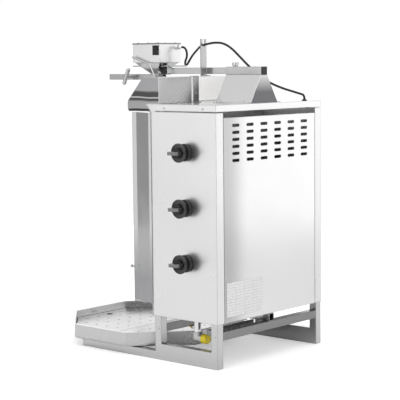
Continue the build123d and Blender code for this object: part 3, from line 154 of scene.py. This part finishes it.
class Shader:
    """A Principled material with short names for the nodes that most surfaces share."""

    def __init__(self, name, colour, roughness, metallic=0.0, **sockets):
        self.material = bpy.data.materials.new(name)
        self.material.use_nodes = True
        self.tree = self.material.node_tree
        self.surface = self.tree.nodes["Principled BSDF"]
        self.set("Base Color", (*colour, 1))
        self.set("Roughness", roughness)
        self.set("Metallic", metallic)
        for socket, value in sockets.items():
            self.set(socket.replace("_", " ").title().replace("Ior", "IOR"), value)
        self.colour = colour
        self.place = self.tree.nodes.new("ShaderNodeTexCoord").outputs["Object"]
        self.normal = None

    def set(self, socket, value):
        self.surface.inputs[socket].default_value = value

    def join(self, source, target):
        self.tree.links.new(source, target)

    def node(self, kind, **settings):
        made = self.tree.nodes.new("ShaderNode" + kind)
        for name, value in settings.items():
            setattr(made, name, value)
        return made

    def noise(self, scale, detail=3.0, roughness=0.5, stretch=(1, 1, 1)):
        """Noise of so many features a metre, with a factor on each axis."""
        mapping = self.node("Mapping")
        mapping.inputs["Scale"].default_value = stretch
        self.join(self.place, mapping.inputs["Vector"])
        made = self.node("TexNoise")
        made.inputs["Scale"].default_value = scale
        made.inputs["Detail"].default_value = detail
        made.inputs["Roughness"].default_value = roughness
        self.join(mapping.outputs[0], made.inputs["Vector"])
        return made.outputs["Fac"]

    def spread(self, factor, low, high, start=0.3, end=0.7):
        """A factor turned into a value between two limits."""
        made = self.node("MapRange")
        for socket, value in zip(made.inputs[1:5], (start, end, low, high)):
            socket.default_value = value
        self.join(factor, made.inputs[0])
        return made.outputs[0]

    def tint(self, factor, other, strength=1.0):
        """Mixes another colour into the base colour by a factor."""
        mix = self.node("Mix", data_type="RGBA")
        base = self.surface.inputs["Base Color"]
        if base.is_linked:
            self.join(base.links[0].from_socket, mix.inputs["A"])
        else:
            mix.inputs["A"].default_value = base.default_value
        mix.inputs["B"].default_value = (*other, 1)
        self.join(self.spread(factor, 0.0, strength, 0.25, 0.75), mix.inputs["Factor"])
        self.join(mix.outputs["Result"], base)

    def rough(self, factor, low, high):
        """Varies the roughness between two limits."""
        self.join(self.spread(factor, low, high), self.surface.inputs["Roughness"])

    def along(self, axis):
        """The place along one axis, in metres of the CAD frame."""
        split = self.node("SeparateXYZ")
        self.join(self.place, split.inputs[0])
        return split.outputs[axis]

    def slope(self, axis):
        """The face's own normal along one axis, from -1 to 1."""
        split = self.node("SeparateXYZ")
        self.join(self.node("NewGeometry").outputs["True Normal"], split.inputs[0])
        return split.outputs[axis]

    def facing(self, axis):
        """How squarely a face looks along one axis, either way."""
        made = self.node("Math", operation="ABSOLUTE")
        self.join(self.slope(axis), made.inputs[0])
        return made.outputs[0]

    def times(self, first, second):
        """The product of two factors."""
        made = self.node("Math", operation="MULTIPLY")
        self.join(first, made.inputs[0])
        self.join(second, made.inputs[1])
        return made.outputs[0]

    def edges(self, radius, colour, strength=1.0):
        """Softly rounded edges, with a line of painted light in another colour along each: a painted
        highlight where that colour is lighter, painted shade where it is darker.
        """
        bevel = self.node("Bevel", samples=EDGE_SAMPLES)
        bevel.inputs["Radius"].default_value = radius
        flat = self.node("VectorMath", operation="DOT_PRODUCT")
        self.join(bevel.outputs[0], flat.inputs[0])
        self.join(self.node("NewGeometry").outputs["Normal"], flat.inputs[1])
        self.tint(self.spread(flat.outputs["Value"], 1.0, 0.0, 0.86, 0.985), colour, strength)
        self.normal = bevel.outputs[0]
        self.join(self.normal, self.surface.inputs["Normal"])

    def bump(self, factor, depth, strength=1.0):
        """Raises the surface by a factor, to a depth in metres."""
        made = self.node("Bump")
        made.inputs["Strength"].default_value = strength
        made.inputs["Distance"].default_value = depth
        self.join(factor, made.inputs["Height"])
        if self.normal is not None:
            self.join(self.normal, made.inputs["Normal"])
        self.normal = made.outputs["Normal"]
        self.join(self.normal, self.surface.inputs["Normal"])


EDGE_SAMPLES = 4
GRAIN_SCALE = 700      # brush lines a metre on sheet
PAN_GRAIN_SCALE = 600
GRAIN_DEPTH = 0.000006
WAVE_SCALE = 3.2       # slow waves in sheet, a metre
SHEET_EDGE = 0.0026
FOLD_EDGE = 0.0022
# how far in from the back sheet's edge its painted shade reaches
PAINTED_SHADE_WIDTH = 0.13
HOOD_GLOW = 0.45       # light thrown up inside the hood by the bright burner front
HOOD_WAVER = 0.003
# painted reflection bands on the hood's glossy side plates
HOOD_BANDS = [         # (from, to) as parts of the height, fade in metres, brightness
    (0.30, 0.58, 0.006, 0.10),
    (0.38, 0.42, 0.0015, 0.60),
    (0.00, 0.07, 0.002, 0.06),
]
BLADE_LENGTH = 0.018
RING_DEPTH = 0.027
RING_FADE = 0.0005
# how dark the painted shade at the back sheet's edge gets
PAINTED_SHADE_STRENGTH = 0.55
PAN_PAINTED_SHADE_HEIGHT = 0.004
PAN_PAINTED_SHADE_FADE = 0.002
WING_PAINTED_SHADE_HEIGHT = 0.3
LABEL_GRID = {"Scale": 1.0, "Mortar Size": 0.0005, "Brick Width": 0.0412, "Row Height": 0.0086}
GRAIN = {"x": (0.02, 1, 1), "y": (1, 0.02, 1), "z": (1, 1, 0.02)}


def brushed_steel(grain, colour=(0.88, 0.88, 0.88), roughness=0.22, wave=0.004):
    """Stainless sheet with its brush lines along one axis, faint handling marks and waves."""
    steel = Shader(f"brushed_steel_{grain}_{roughness:.2f}", colour, roughness, 1.0)
    lines = steel.noise(GRAIN_SCALE, 3, 0.6, GRAIN[grain])
    broad = steel.noise(120, 2, 0.5, GRAIN[grain])
    marks = steel.noise(9, 5, 0.6)
    steel.tint(lines, tuple(0.93 * part for part in colour))
    steel.tint(broad, tuple(0.96 * part for part in colour))
    steel.tint(marks, tuple(0.97 * part for part in colour), 0.7)
    steel.rough(marks, roughness * 0.9, roughness * 1.15)
    steel.edges(SHEET_EDGE, tuple(0.34 * part for part in colour), 0.9)
    steel.bump(steel.noise(WAVE_SCALE, 1, 0.4), wave)
    steel.bump(lines, GRAIN_DEPTH)
    return steel.material


def painted_edge_shade_steel():
    """The ventilated back sheet, with painted shade towards its folded edge on the high-X side, standing
    in for the shade where that edge curves away from the light.
    """
    material = brushed_steel("x", (0.90, 0.90, 0.90), 0.21, 0.003)
    material.name = "painted_edge_shade_steel"
    tree = material.node_tree
    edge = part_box("back_panel")[1].x
    place = tree.nodes.new("ShaderNodeSeparateXYZ")
    source = next(node for node in tree.nodes if node.type == "TEX_COORD")
    tree.links.new(source.outputs["Object"], place.inputs[0])
    # painted shade towards the folded edge on the high-X side
    edge_shade = tree.nodes.new("ShaderNodeMapRange")
    edge_shade.interpolation_type = "SMOOTHERSTEP"
    for socket, value in zip(edge_shade.inputs[1:5], (edge - PAINTED_SHADE_WIDTH, edge, 0.0, PAINTED_SHADE_STRENGTH)):
        socket.default_value = value
    tree.links.new(place.outputs["X"], edge_shade.inputs[0])
    mix = tree.nodes.new("ShaderNodeMix")
    mix.data_type = "RGBA"
    colour = tree.nodes["Principled BSDF"].inputs["Base Color"]
    tree.links.new(colour.links[0].from_socket, mix.inputs["A"])
    mix.inputs["B"].default_value = (0.3, 0.3, 0.3, 1)
    tree.links.new(edge_shade.outputs[0], mix.inputs["Factor"])
    tree.links.new(mix.outputs["Result"], colour)
    return material


def pan_steel():
    """The drip pan: bright outside, with painted shade on its floor under the plates."""
    steel = Shader("pan_steel", (0.70, 0.70, 0.70), 0.26, 1.0)
    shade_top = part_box("drip_tray")[0].z + PAN_PAINTED_SHADE_HEIGHT
    low_down = steel.spread(steel.along("Z"), 1.0, 0.0, shade_top, shade_top + PAN_PAINTED_SHADE_FADE)
    upward = steel.spread(steel.slope("Z"), 0.0, 1.0, 0.5, 0.9)
    lines = steel.noise(PAN_GRAIN_SCALE, 3, 0.6, GRAIN["x"])
    steel.tint(lines, (0.64, 0.64, 0.64))
    steel.tint(steel.noise(8, 2), (0.68, 0.68, 0.68), 0.6)
    # painted shade on the pan's floor, on its upward faces under the plates
    steel.tint(steel.times(low_down, upward), (0.03, 0.028, 0.026))
    steel.rough(steel.noise(20, 2), 0.24, 0.29)
    steel.edges(FOLD_EDGE, (0.95, 0.95, 0.95), 0.8)
    steel.bump(lines, GRAIN_DEPTH)
    return steel.material


def plate_steel():
    """The perforated plates: satin on top, shaded in their holes and at their cut edges."""
    steel = Shader("plate_steel", (0.60, 0.60, 0.60), 0.24, 1.0)
    lines = steel.noise(PAN_GRAIN_SCALE, 3, 0.6, GRAIN["x"])
    steel.tint(lines, (0.55, 0.55, 0.55))
    steel.tint(steel.noise(6, 3), (0.56, 0.56, 0.56))
    cut = steel.spread(steel.facing("Z"), 1.0, 0.0, 0.3, 0.8)
    steel.tint(cut, (0.015, 0.015, 0.015))
    steel.rough(steel.noise(14, 4), 0.2, 0.3)
    steel.bump(steel.noise(WAVE_SCALE, 1, 0.4), 0.002)
    steel.bump(lines, GRAIN_DEPTH)
    return steel.material


def polished_steel():
    """Bright rolled stainless with a soft mirror and light scuffs."""
    steel = Shader("polished_steel", (0.66, 0.66, 0.67), 0.1, 1.0)
    steel.edges(0.0014, (0.12, 0.12, 0.12))
    scuffs = steel.noise(60, 6, 0.7)
    steel.tint(steel.noise(7, 4), (0.66, 0.66, 0.67))
    steel.rough(scuffs, 0.08, 0.2)
    steel.bump(steel.noise(6, 2), 0.0004)
    steel.bump(scuffs, 0.000008)
    return steel.material


def rod_steel():
    """Turned bar, with painted shade darkening it from its middle towards its outline."""
    steel = Shader("rod_steel", (0.62, 0.62, 0.63), 0.22, 1.0)
    rim = steel.node("LayerWeight")
    rim.inputs["Blend"].default_value = 0.45
    steel.tint(steel.noise(30, 4), (0.56, 0.56, 0.57))
    # painted shade towards the outline
    steel.tint(rim.outputs["Facing"], (0.06, 0.06, 0.065))
    steel.rough(steel.noise(300, 3), 0.18, 0.28)
    steel.bump(steel.noise(900, 2), 0.000008)
    return steel.material


def lid_steel():
    """The motor box's lid: bright on top, with painted shade down its folded sides."""
    steel = Shader("lid_steel", (0.86, 0.86, 0.86), 0.24, 1.0)
    lines = steel.noise(GRAIN_SCALE, 3, 0.6, GRAIN["x"])
    steel.tint(lines, (0.80, 0.80, 0.80))
    # painted shade on the lid's folded sides
    steel.tint(steel.spread(steel.facing("Z"), 1.0, 0.0, 0.4, 0.8), (0.26, 0.26, 0.26))
    steel.rough(steel.noise(9, 4), 0.22, 0.28)
    steel.edges(0.0016, (0.3, 0.3, 0.3), 0.8)
    steel.bump(lines, GRAIN_DEPTH)
    return steel.material


def hood_steel():
    """The hood: brushed outside; bright inside from painted light and a painted glow; glossy side plates
    with a painted dark reflection and painted reflection bands, mostly dark.
    """
    steel = Shader("hood_steel", (0.72, 0.72, 0.72), 0.3, 1.0)
    side = steel.facing("X")
    steel.rough(side, 0.3, 0.10)
    steel.tint(steel.noise(1200, 4, 0.6, GRAIN["x"]), (0.66, 0.66, 0.66), 0.5)
    low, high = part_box("hood")
    # painted dark reflection on the glossy side plates
    steel.tint(side, (0.44, 0.44, 0.45))
    height = steel.node("Math", operation="ADD")
    steel.join(steel.along("Z"), height.inputs[0])
    steel.join(steel.spread(steel.noise(9, 2, 0.4), -HOOD_WAVER, HOOD_WAVER), height.inputs[1])
    # painted reflection bands across the side plates
    for start, end, fade, shade in HOOD_BANDS:
        bottom = low.z + start * (high.z - low.z)
        top = low.z + end * (high.z - low.z)
        above = steel.spread(height.outputs[0], 0.0, 1.0, bottom - fade, bottom + fade)
        below = steel.spread(height.outputs[0], 1.0, 0.0, top - fade, top + fade)
        band = steel.times(above, below)
        steel.tint(steel.times(band, side), (shade, shade, shade))
    # painted light inside the hood: a lighter, less metallic colour and a glow from the burner front
    inside = steel.node("VectorMath", operation="DOT_PRODUCT")
    steel.join(steel.node("NewGeometry").outputs["True Normal"], inside.inputs[0])
    inside.inputs[1].default_value = (0, 0.7, -0.7)
    inner = steel.spread(inside.outputs["Value"], 0.0, 1.0, 0.6, 0.8)
    steel.tint(inner, (0.97, 0.97, 0.97))
    steel.join(steel.spread(inner, 1.0, 0.15, 0.0, 1.0), steel.surface.inputs["Metallic"])
    steel.set("Emission Color", (1, 1, 1, 1))
    steel.join(steel.spread(inner, 0.0, HOOD_GLOW, 0.0, 1.0), steel.surface.inputs["Emission Strength"])
    steel.edges(FOLD_EDGE, (0.9, 0.9, 0.9), 0.8)
    steel.bump(steel.noise(5, 2), 0.001)
    return steel.material


def wing_steel():
    """The heat shields: soft bright steel, with painted shade making them a little darker towards the
    tray.
    """
    steel = Shader("wing_steel", (0.76, 0.76, 0.76), 0.2, 1.0)
    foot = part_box("wing_right")[0].z
    lines = steel.noise(GRAIN_SCALE, 3, 0.6, GRAIN["z"])
    steel.tint(lines, (0.70, 0.70, 0.70))
    steel.tint(steel.noise(6, 4), (0.70, 0.70, 0.70))
    # painted shade, darkening the shields towards their foot
    low_down = steel.spread(steel.along("Z"), 1.0, 0.0, foot, foot + WING_PAINTED_SHADE_HEIGHT)
    steel.tint(low_down, (0.40, 0.40, 0.41))
    steel.rough(steel.noise(14, 4), 0.17, 0.25)
    steel.edges(FOLD_EDGE, (0.4, 0.4, 0.4), 0.8)
    steel.bump(steel.noise(WAVE_SCALE, 1, 0.4), 0.004)
    steel.bump(lines, GRAIN_DEPTH)
    return steel.material


def stand_steel():
    """The arm's stand, bright on its slopes, with a painted dark reflection on its ends, strongest low
    down.
    """
    steel = Shader("stand_steel", (0.78, 0.78, 0.78), 0.22, 1.0)
    low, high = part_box("arm_stand")
    depth = steel.spread(steel.along("Z"), 1.0, 0.35, low.z, high.z)
    end = steel.times(steel.facing("Y"), depth)
    lines = steel.noise(GRAIN_SCALE, 3, 0.6, GRAIN["z"])
    steel.tint(lines, (0.72, 0.72, 0.72))
    # painted dark reflection on the stand's ends, strongest low down
    steel.tint(end, (0.16, 0.16, 0.17))
    steel.rough(steel.noise(14, 4), 0.18, 0.28)
    steel.edges(FOLD_EDGE, (0.9, 0.9, 0.9), 0.7)
    steel.bump(lines, GRAIN_DEPTH)
    return steel.material


def chrome():
    """Plated pipe with faint draw lines."""
    metal = Shader("chrome", (0.86, 0.87, 0.88), 0.06, 1.0)
    lines = metal.noise(900, 3, 0.5, GRAIN["z"])
    metal.rough(lines, 0.03, 0.12)
    metal.tint(metal.noise(30, 3), (0.78, 0.79, 0.8))
    metal.bump(lines, GRAIN_DEPTH)
    return metal.material


def cast_silver():
    """A blasted light-alloy casting, fine grained and satin."""
    metal = Shader("cast_silver", (0.66, 0.66, 0.66), 0.42, 1.0)
    grain = metal.noise(1600, 4, 0.65)
    metal.tint(metal.noise(90, 3), (0.52, 0.52, 0.52))
    metal.edges(0.001, (0.85, 0.85, 0.85))
    metal.rough(grain, 0.34, 0.52)
    metal.bump(grain, 0.00006)
    metal.bump(metal.noise(160, 2), 0.0001)
    return metal.material


def plated_steel():
    """Zinc-plated steel with cloudy spangle."""
    metal = Shader("plated_steel", (0.60, 0.61, 0.62), 0.35, 1.0)
    cells = metal.node("TexVoronoi")
    cells.inputs["Scale"].default_value = 180
    metal.join(metal.place, cells.inputs["Vector"])
    metal.tint(cells.outputs["Distance"], (0.5, 0.51, 0.53))
    metal.rough(metal.noise(300, 4), 0.28, 0.45)
    metal.bump(metal.noise(900, 3), 0.00002)
    return metal.material


def brass(name, colour, dull):
    """Turned or drawn copper alloy, a little tarnished."""
    metal = Shader(name, colour, 0.28, 1.0)
    metal.tint(metal.noise(120, 5, 0.6), dull)
    metal.rough(metal.noise(500, 3), 0.2, 0.4)
    metal.bump(metal.noise(1500, 3), 0.00002)
    return metal.material


def cast_iron():
    """Grey painted gear case over a sand-cast skin."""
    paint = Shader("painted_casting", (0.16, 0.17, 0.18), 0.45)
    skin = paint.noise(420, 4, 0.6)
    paint.tint(skin, (0.11, 0.115, 0.12))
    paint.rough(skin, 0.4, 0.6)
    paint.bump(skin, 0.00015)
    return paint.material


def black_plastic():
    """Glossy black moulding with a trace of orange peel and dust."""
    plastic = Shader("black_plastic", (0.006, 0.006, 0.006), 0.16, specular_ior_level=0.4)
    peel = plastic.noise(500, 2)
    plastic.tint(plastic.noise(45, 5, 0.7), (0.014, 0.014, 0.014), 0.6)
    plastic.rough(plastic.noise(140, 4), 0.12, 0.22)
    plastic.edges(0.001, (0.2, 0.2, 0.2), 0.7)
    plastic.bump(peel, 0.00001)
    return plastic.material


def knob_plastic():
    """Glossy black knobs, with painted highlights lightening their flat faces and grip blades."""
    plastic = Shader("knob_plastic", (0.005, 0.005, 0.005), 0.12, specular_ior_level=0.4)
    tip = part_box("knob_1")[1].x
    out = plastic.along("X")
    plastic.tint(plastic.noise(45, 5, 0.7), (0.012, 0.012, 0.012), 0.6)
    # painted highlights: a lighter ring on the flat faces and a lighter blade end
    blade = plastic.spread(out, 0.0, 1.0, tip - BLADE_LENGTH, tip - 0.5 * BLADE_LENGTH)
    ring = plastic.spread(out, 1.0, 0.0, tip - RING_DEPTH, tip - RING_DEPTH + RING_FADE)
    plastic.tint(plastic.times(plastic.facing("X"), ring), (0.055, 0.055, 0.055))
    plastic.tint(blade, (0.19, 0.19, 0.19))
    plastic.rough(plastic.noise(140, 4), 0.08, 0.16)
    plastic.edges(0.0012, (0.12, 0.12, 0.12), 0.6)
    plastic.bump(plastic.noise(500, 2), 0.000008)
    return plastic.material


def black_rubber():
    """Matt black cable sheath and boot."""
    rubber = Shader("black_rubber", (0.012, 0.012, 0.013), 0.34, specular_ior_level=0.3)
    skin = rubber.noise(1800, 3)
    rubber.tint(rubber.noise(70, 4), (0.022, 0.022, 0.024), 0.7)
    rubber.rough(skin, 0.28, 0.42)
    rubber.bump(skin, 0.00003)
    return rubber.material


def yellow_plastic():
    """Soft yellow dust cap, slightly translucent at its edges."""
    plastic = Shader(
        "yellow_plastic", (0.83, 0.68, 0.02), 0.32, subsurface_weight=0.15, subsurface_scale=0.002
    )
    plastic.tint(plastic.noise(160, 4), (0.72, 0.56, 0.01), 0.7)
    plastic.rough(plastic.noise(300, 3), 0.26, 0.42)
    plastic.bump(plastic.noise(900, 2), 0.00003)
    return plastic.material


def burner_ceramic():
    """Pale infrared ceramic pierced by close rows of small holes."""
    clay = Shader("burner_ceramic", (0.80, 0.73, 0.63), 0.85)
    cells = clay.node("TexVoronoi")
    cells.inputs["Scale"].default_value = 330
    cells.inputs["Randomness"].default_value = 0.0
    flat = clay.node("Mapping")
    flat.inputs["Scale"].default_value = (1, 0, 1)
    clay.join(clay.place, flat.inputs["Vector"])
    clay.join(flat.outputs[0], cells.inputs["Vector"])
    hole = clay.spread(cells.outputs["Distance"], 1.0, 0.0, 0.22, 0.34)
    clay.tint(clay.noise(14, 4), (0.66, 0.56, 0.44), 0.8)
    clay.tint(hole, (0.12, 0.09, 0.07))
    clay.bump(clay.noise(1500, 3), 0.00008)
    return clay.material


def wire_steel():
    """Guard wire, straw-tinted by heat."""
    steel = Shader("guard_steel", (0.62, 0.58, 0.52), 0.3, 1.0)
    steel.tint(steel.noise(18, 4), (0.42, 0.34, 0.30))
    steel.rough(steel.noise(400, 3), 0.24, 0.42)
    steel.bump(steel.noise(1200, 3), 0.00003)
    return steel.material


def label_foil():
    """A light foil plate ruled into generic rows and cells, with no lettering."""
    foil = Shader("label_foil", (0.80, 0.80, 0.80), 0.35, specular_ior_level=0.5)
    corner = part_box("rating_plate")[0]
    place = foil.node("Mapping")
    place.inputs["Location"].default_value = (-corner.x, 0, -corner.z)
    foil.join(foil.place, place.inputs["Vector"])
    turned = foil.node("Mapping")
    turned.inputs["Rotation"].default_value = (math.radians(-90), 0, 0)
    foil.join(place.outputs[0], turned.inputs["Vector"])
    foil.edges(0.0012, (0.4, 0.4, 0.4))
    bricks = foil.node("TexBrick", offset=0.0, squash=1.0)
    for socket, value in LABEL_GRID.items():
        bricks.inputs[socket].default_value = value
    foil.join(turned.outputs[0], bricks.inputs["Vector"])
    foil.tint(bricks.outputs["Fac"], (0.42, 0.42, 0.42), 0.7)
    dashes = foil.noise(260, 1, 0.3, (0.7, 1, 3.2))
    foil.tint(foil.spread(dashes, 0.0, 1.0, 0.56, 0.62), (0.4, 0.4, 0.4), 0.6)
    foil.bump(foil.noise(300, 2), 0.00003)
    return foil.material


# ---------------------------------------------------------------- CAD nodes and their finishes

# Copies of one brushed steel: LONG_X and LONG_Z as the sheet is; the others are darkened to different
# levels as painted shade for each part, the cross tubes and floor panel darkest.
LONG_X = brushed_steel("x")
LONG_Z = brushed_steel("z", roughness=0.30)
ARM_Y = brushed_steel("y", (0.58, 0.58, 0.58), 0.23, 0.002)
BAR_Y = brushed_steel("y", (0.50, 0.50, 0.50), 0.25, 0.0005)
FORK_Z = brushed_steel("z", (0.56, 0.56, 0.56), 0.28, 0.002)
FUNNEL_Z = brushed_steel("z", (0.66, 0.66, 0.66), 0.24, 0.001)
SOFT_X = brushed_steel("x", (0.62, 0.62, 0.62), 0.24, 0.002)
TUBING_Y = brushed_steel("y", (0.70, 0.70, 0.70), 0.2, 0.002)
TUBING_X = brushed_steel("x", (0.30, 0.30, 0.30), 0.26, 0.003)
BLACK = black_plastic()
POLISHED = polished_steel()
PLATED = plated_steel()
BRASS = brass("brass", (0.78, 0.62, 0.28), (0.6, 0.44, 0.18))

KNOB_NUMBERS = (1, 2, 3)

FINISHES = [
    (TUBING_Y, ["side_frame_right", "side_frame_left", "lower_arm"]),
    (ARM_Y, ["arm_tube", "sleeve_tube"]),
    (BAR_Y, ["handle_bar"]),
    (stand_steel(), ["arm_stand"]),
    (TUBING_X, ["cross_tubes", "floor_panel"]),
    (pan_steel(), ["drip_tray"]),
    (LONG_X, ["top_cap"]),
    (lid_steel(), ["motor_lid"]),
    (painted_edge_shade_steel(), ["back_panel"]),
    (LONG_Z, ["side_panel_right", "side_panel_left", "front_surround", "motor_box"]),
    (FORK_Z, ["cable_fork"]),
    (FUNNEL_Z, ["motor_bracket"]),
    (wing_steel(), ["wing_right", "wing_left"]),
    (SOFT_X, ["hood_back"]),
    (plate_steel(), ["tray_plate_front", "tray_plate_back"]),
    (hood_steel(), ["hood"]),
    (POLISHED, ["fasteners", "clamp_screw", "spit", "spit_disc"]),
    (rod_steel(), ["cam_lever"]),
    (chrome(), ["gas_manifold", "cable_gland"]),
    (cast_silver(), ["inlet_elbow", "t_handle"]),
    (PLATED, ["burner_bodies", "drive_socket", "adjusting_screw", "wing_hinges"]),
    (wire_steel(), ["burner_guards"]),
    (burner_ceramic(), ["burner_ceramics"]),
    (BRASS, ["gas_valves", "bottom_bearing", "test_nipple"]),
    (BRASS, [f"valve_plunger_{number}" for number in KNOB_NUMBERS]),
    (brass("copper", (0.80, 0.47, 0.33), (0.6, 0.3, 0.2)), ["supply_pipes"]),
    (cast_iron(), ["gear_motor"]),
    (BLACK, ["sleeve_cap", "arm_ferrule", "switch_body", "switch_rocker", "mains_gland"]),
    (knob_plastic(), [f"knob_{number}" for number in KNOB_NUMBERS]),
    (yellow_plastic(), ["inlet_cap"]),
    (black_rubber(), ["cable_grommet", "motor_cable"]),
    (label_foil(), ["rating_plate"]),
]

for finish, names in FINISHES:
    for name in names:
        mesh = NODES[name].data
        mesh.materials.clear()
        mesh.materials.append(finish)

# ---------------------------------------------------------------- motor cable

CABLE_RADIUS = 0.0035
CABLE_SIDES = 20
CURVE_ORDER = 3
CURVE_STEPS = 12
CABLE_ROUTE = [
    (-0.036, -0.3925, 0.952),
    (-0.036, -0.380, 0.952),
    (-0.036, -0.371, 0.936),
    (-0.036, -0.371, 0.921),
    (-0.035, -0.377, 0.908),
    (-0.032, -0.376, 0.897),
    (-0.027, -0.367, 0.892),
    (-0.019, -0.350, 0.902),
    (-0.007, -0.323, 0.924),
    (0.012, -0.279, 0.947),
    (0.024, -0.256, 0.955),
    (0.026, -0.234, 0.959),
    (0.017, -0.208, 0.964),
    (0.004, -0.184, 0.962),
    (-0.006, -0.160, 0.947),
    (-0.014, -0.134, 0.921),
    (-0.026, -0.110, 0.893),
    (-0.046, -0.088, 0.865),
    (-0.070, -0.072, 0.844),
    (-0.097, -0.059, 0.830),
    (-0.125, -0.047, 0.819),
    (-0.153, -0.036, 0.8105),
    (-0.178, -0.027, 0.803),
    (-0.195, -0.020, 0.798),
    (-0.195, -0.020, 0.786),
]


def smooth_line(name, points):
    """The points that a NURBS line follows when the given points pull on it."""
    data = bpy.data.curves.new(name, "CURVE")
    data.dimensions = "3D"
    spline = data.splines.new("NURBS")
    spline.points.add(len(points) - 1)
    for target, point in zip(spline.points, points):
        target.co = (*point, 1)
    spline.order_u = CURVE_ORDER
    spline.use_endpoint_u = True
    spline.resolution_u = CURVE_STEPS
    curve = bpy.data.objects.new(name, data)
    bpy.context.scene.collection.objects.link(curve)
    bpy.context.view_layer.update()
    mesh = bpy.data.meshes.new_from_object(curve.evaluated_get(bpy.context.evaluated_depsgraph_get()))
    line = [vertex.co.copy() for vertex in mesh.vertices]
    bpy.data.objects.remove(curve)
    bpy.data.meshes.remove(mesh)
    return line


def link_mesh(name, form, material):
    """A new object from a bmesh, smooth shaded."""
    mesh = bpy.data.meshes.new(name)
    bmesh.ops.recalc_face_normals(form, faces=form.faces)
    form.to_mesh(mesh)
    form.free()
    mesh.materials.append(material)
    mesh.polygons.foreach_set("use_smooth", [True] * len(mesh.polygons))
    made = bpy.data.objects.new(name, mesh)
    bpy.context.scene.collection.objects.link(made)
    return made


def tube_along(name, line, radius, material):
    """A round tube that follows a line without twisting, closed at both ends."""
    form = bmesh.new()
    rings = []
    side = Vector((0, 0, 1)).cross(line[1] - line[0]).normalized()
    for number, point in enumerate(line):
        ahead = line[min(number + 1, len(line) - 1)] - line[max(number - 1, 0)]
        ahead.normalize()
        side = (side - ahead * side.dot(ahead)).normalized()
        up = ahead.cross(side)
        turns = [2 * math.pi * step / CABLE_SIDES for step in range(CABLE_SIDES)]
        ring = [form.verts.new(point + radius * (side * math.cos(t) + up * math.sin(t))) for t in turns]
        rings.append(ring)
    for ring, following in zip(rings, rings[1:]):
        for step in range(CABLE_SIDES):
            beside = (step + 1) % CABLE_SIDES
            form.faces.new((ring[step], ring[beside], following[beside], following[step]))
    form.faces.new(rings[0])
    form.faces.new(rings[-1])
    return link_mesh(name, form, material)


cable_points = [HOUSING + Vector(point) for point in CABLE_ROUTE]
cable_line = smooth_line("cable_line", cable_points)
cable = tube_along("motor_cable_sheath", cable_line, CABLE_RADIUS, NODES["motor_cable"].data.materials[0])
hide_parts("motor_cable")
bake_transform(cable)

# ---------------------------------------------------------------- floor

FLOOR_RADIUS = 3.2
FLOOR_SIDES = 96
FLOOR_HEIGHT = -0.0005
FLOOR_GLOW = 0.42      # lifts the floor to plain white where the camera sees it


def add_floor():
    """A round pale studio floor."""
    form = bmesh.new()
    bmesh.ops.create_circle(form, cap_ends=True, segments=FLOOR_SIDES, radius=FLOOR_RADIUS)
    paint = Shader("pale_floor", (0.86, 0.86, 0.86), 0.7, specular_ior_level=0.2)
    paint.tint(paint.noise(2, 3), (0.84, 0.84, 0.84))
    paint.set("Emission Color", (1, 1, 1, 1))
    seen = paint.node("LightPath")
    glow = paint.node("Math", operation="MULTIPLY")
    glow.inputs[1].default_value = FLOOR_GLOW
    paint.join(seen.outputs["Is Camera Ray"], glow.inputs[0])
    paint.join(glow.outputs[0], paint.surface.inputs["Emission Strength"])
    floor = link_mesh("studio_floor", form, paint.material)
    floor.location = (0, 0, FLOOR_HEIGHT)


add_floor()
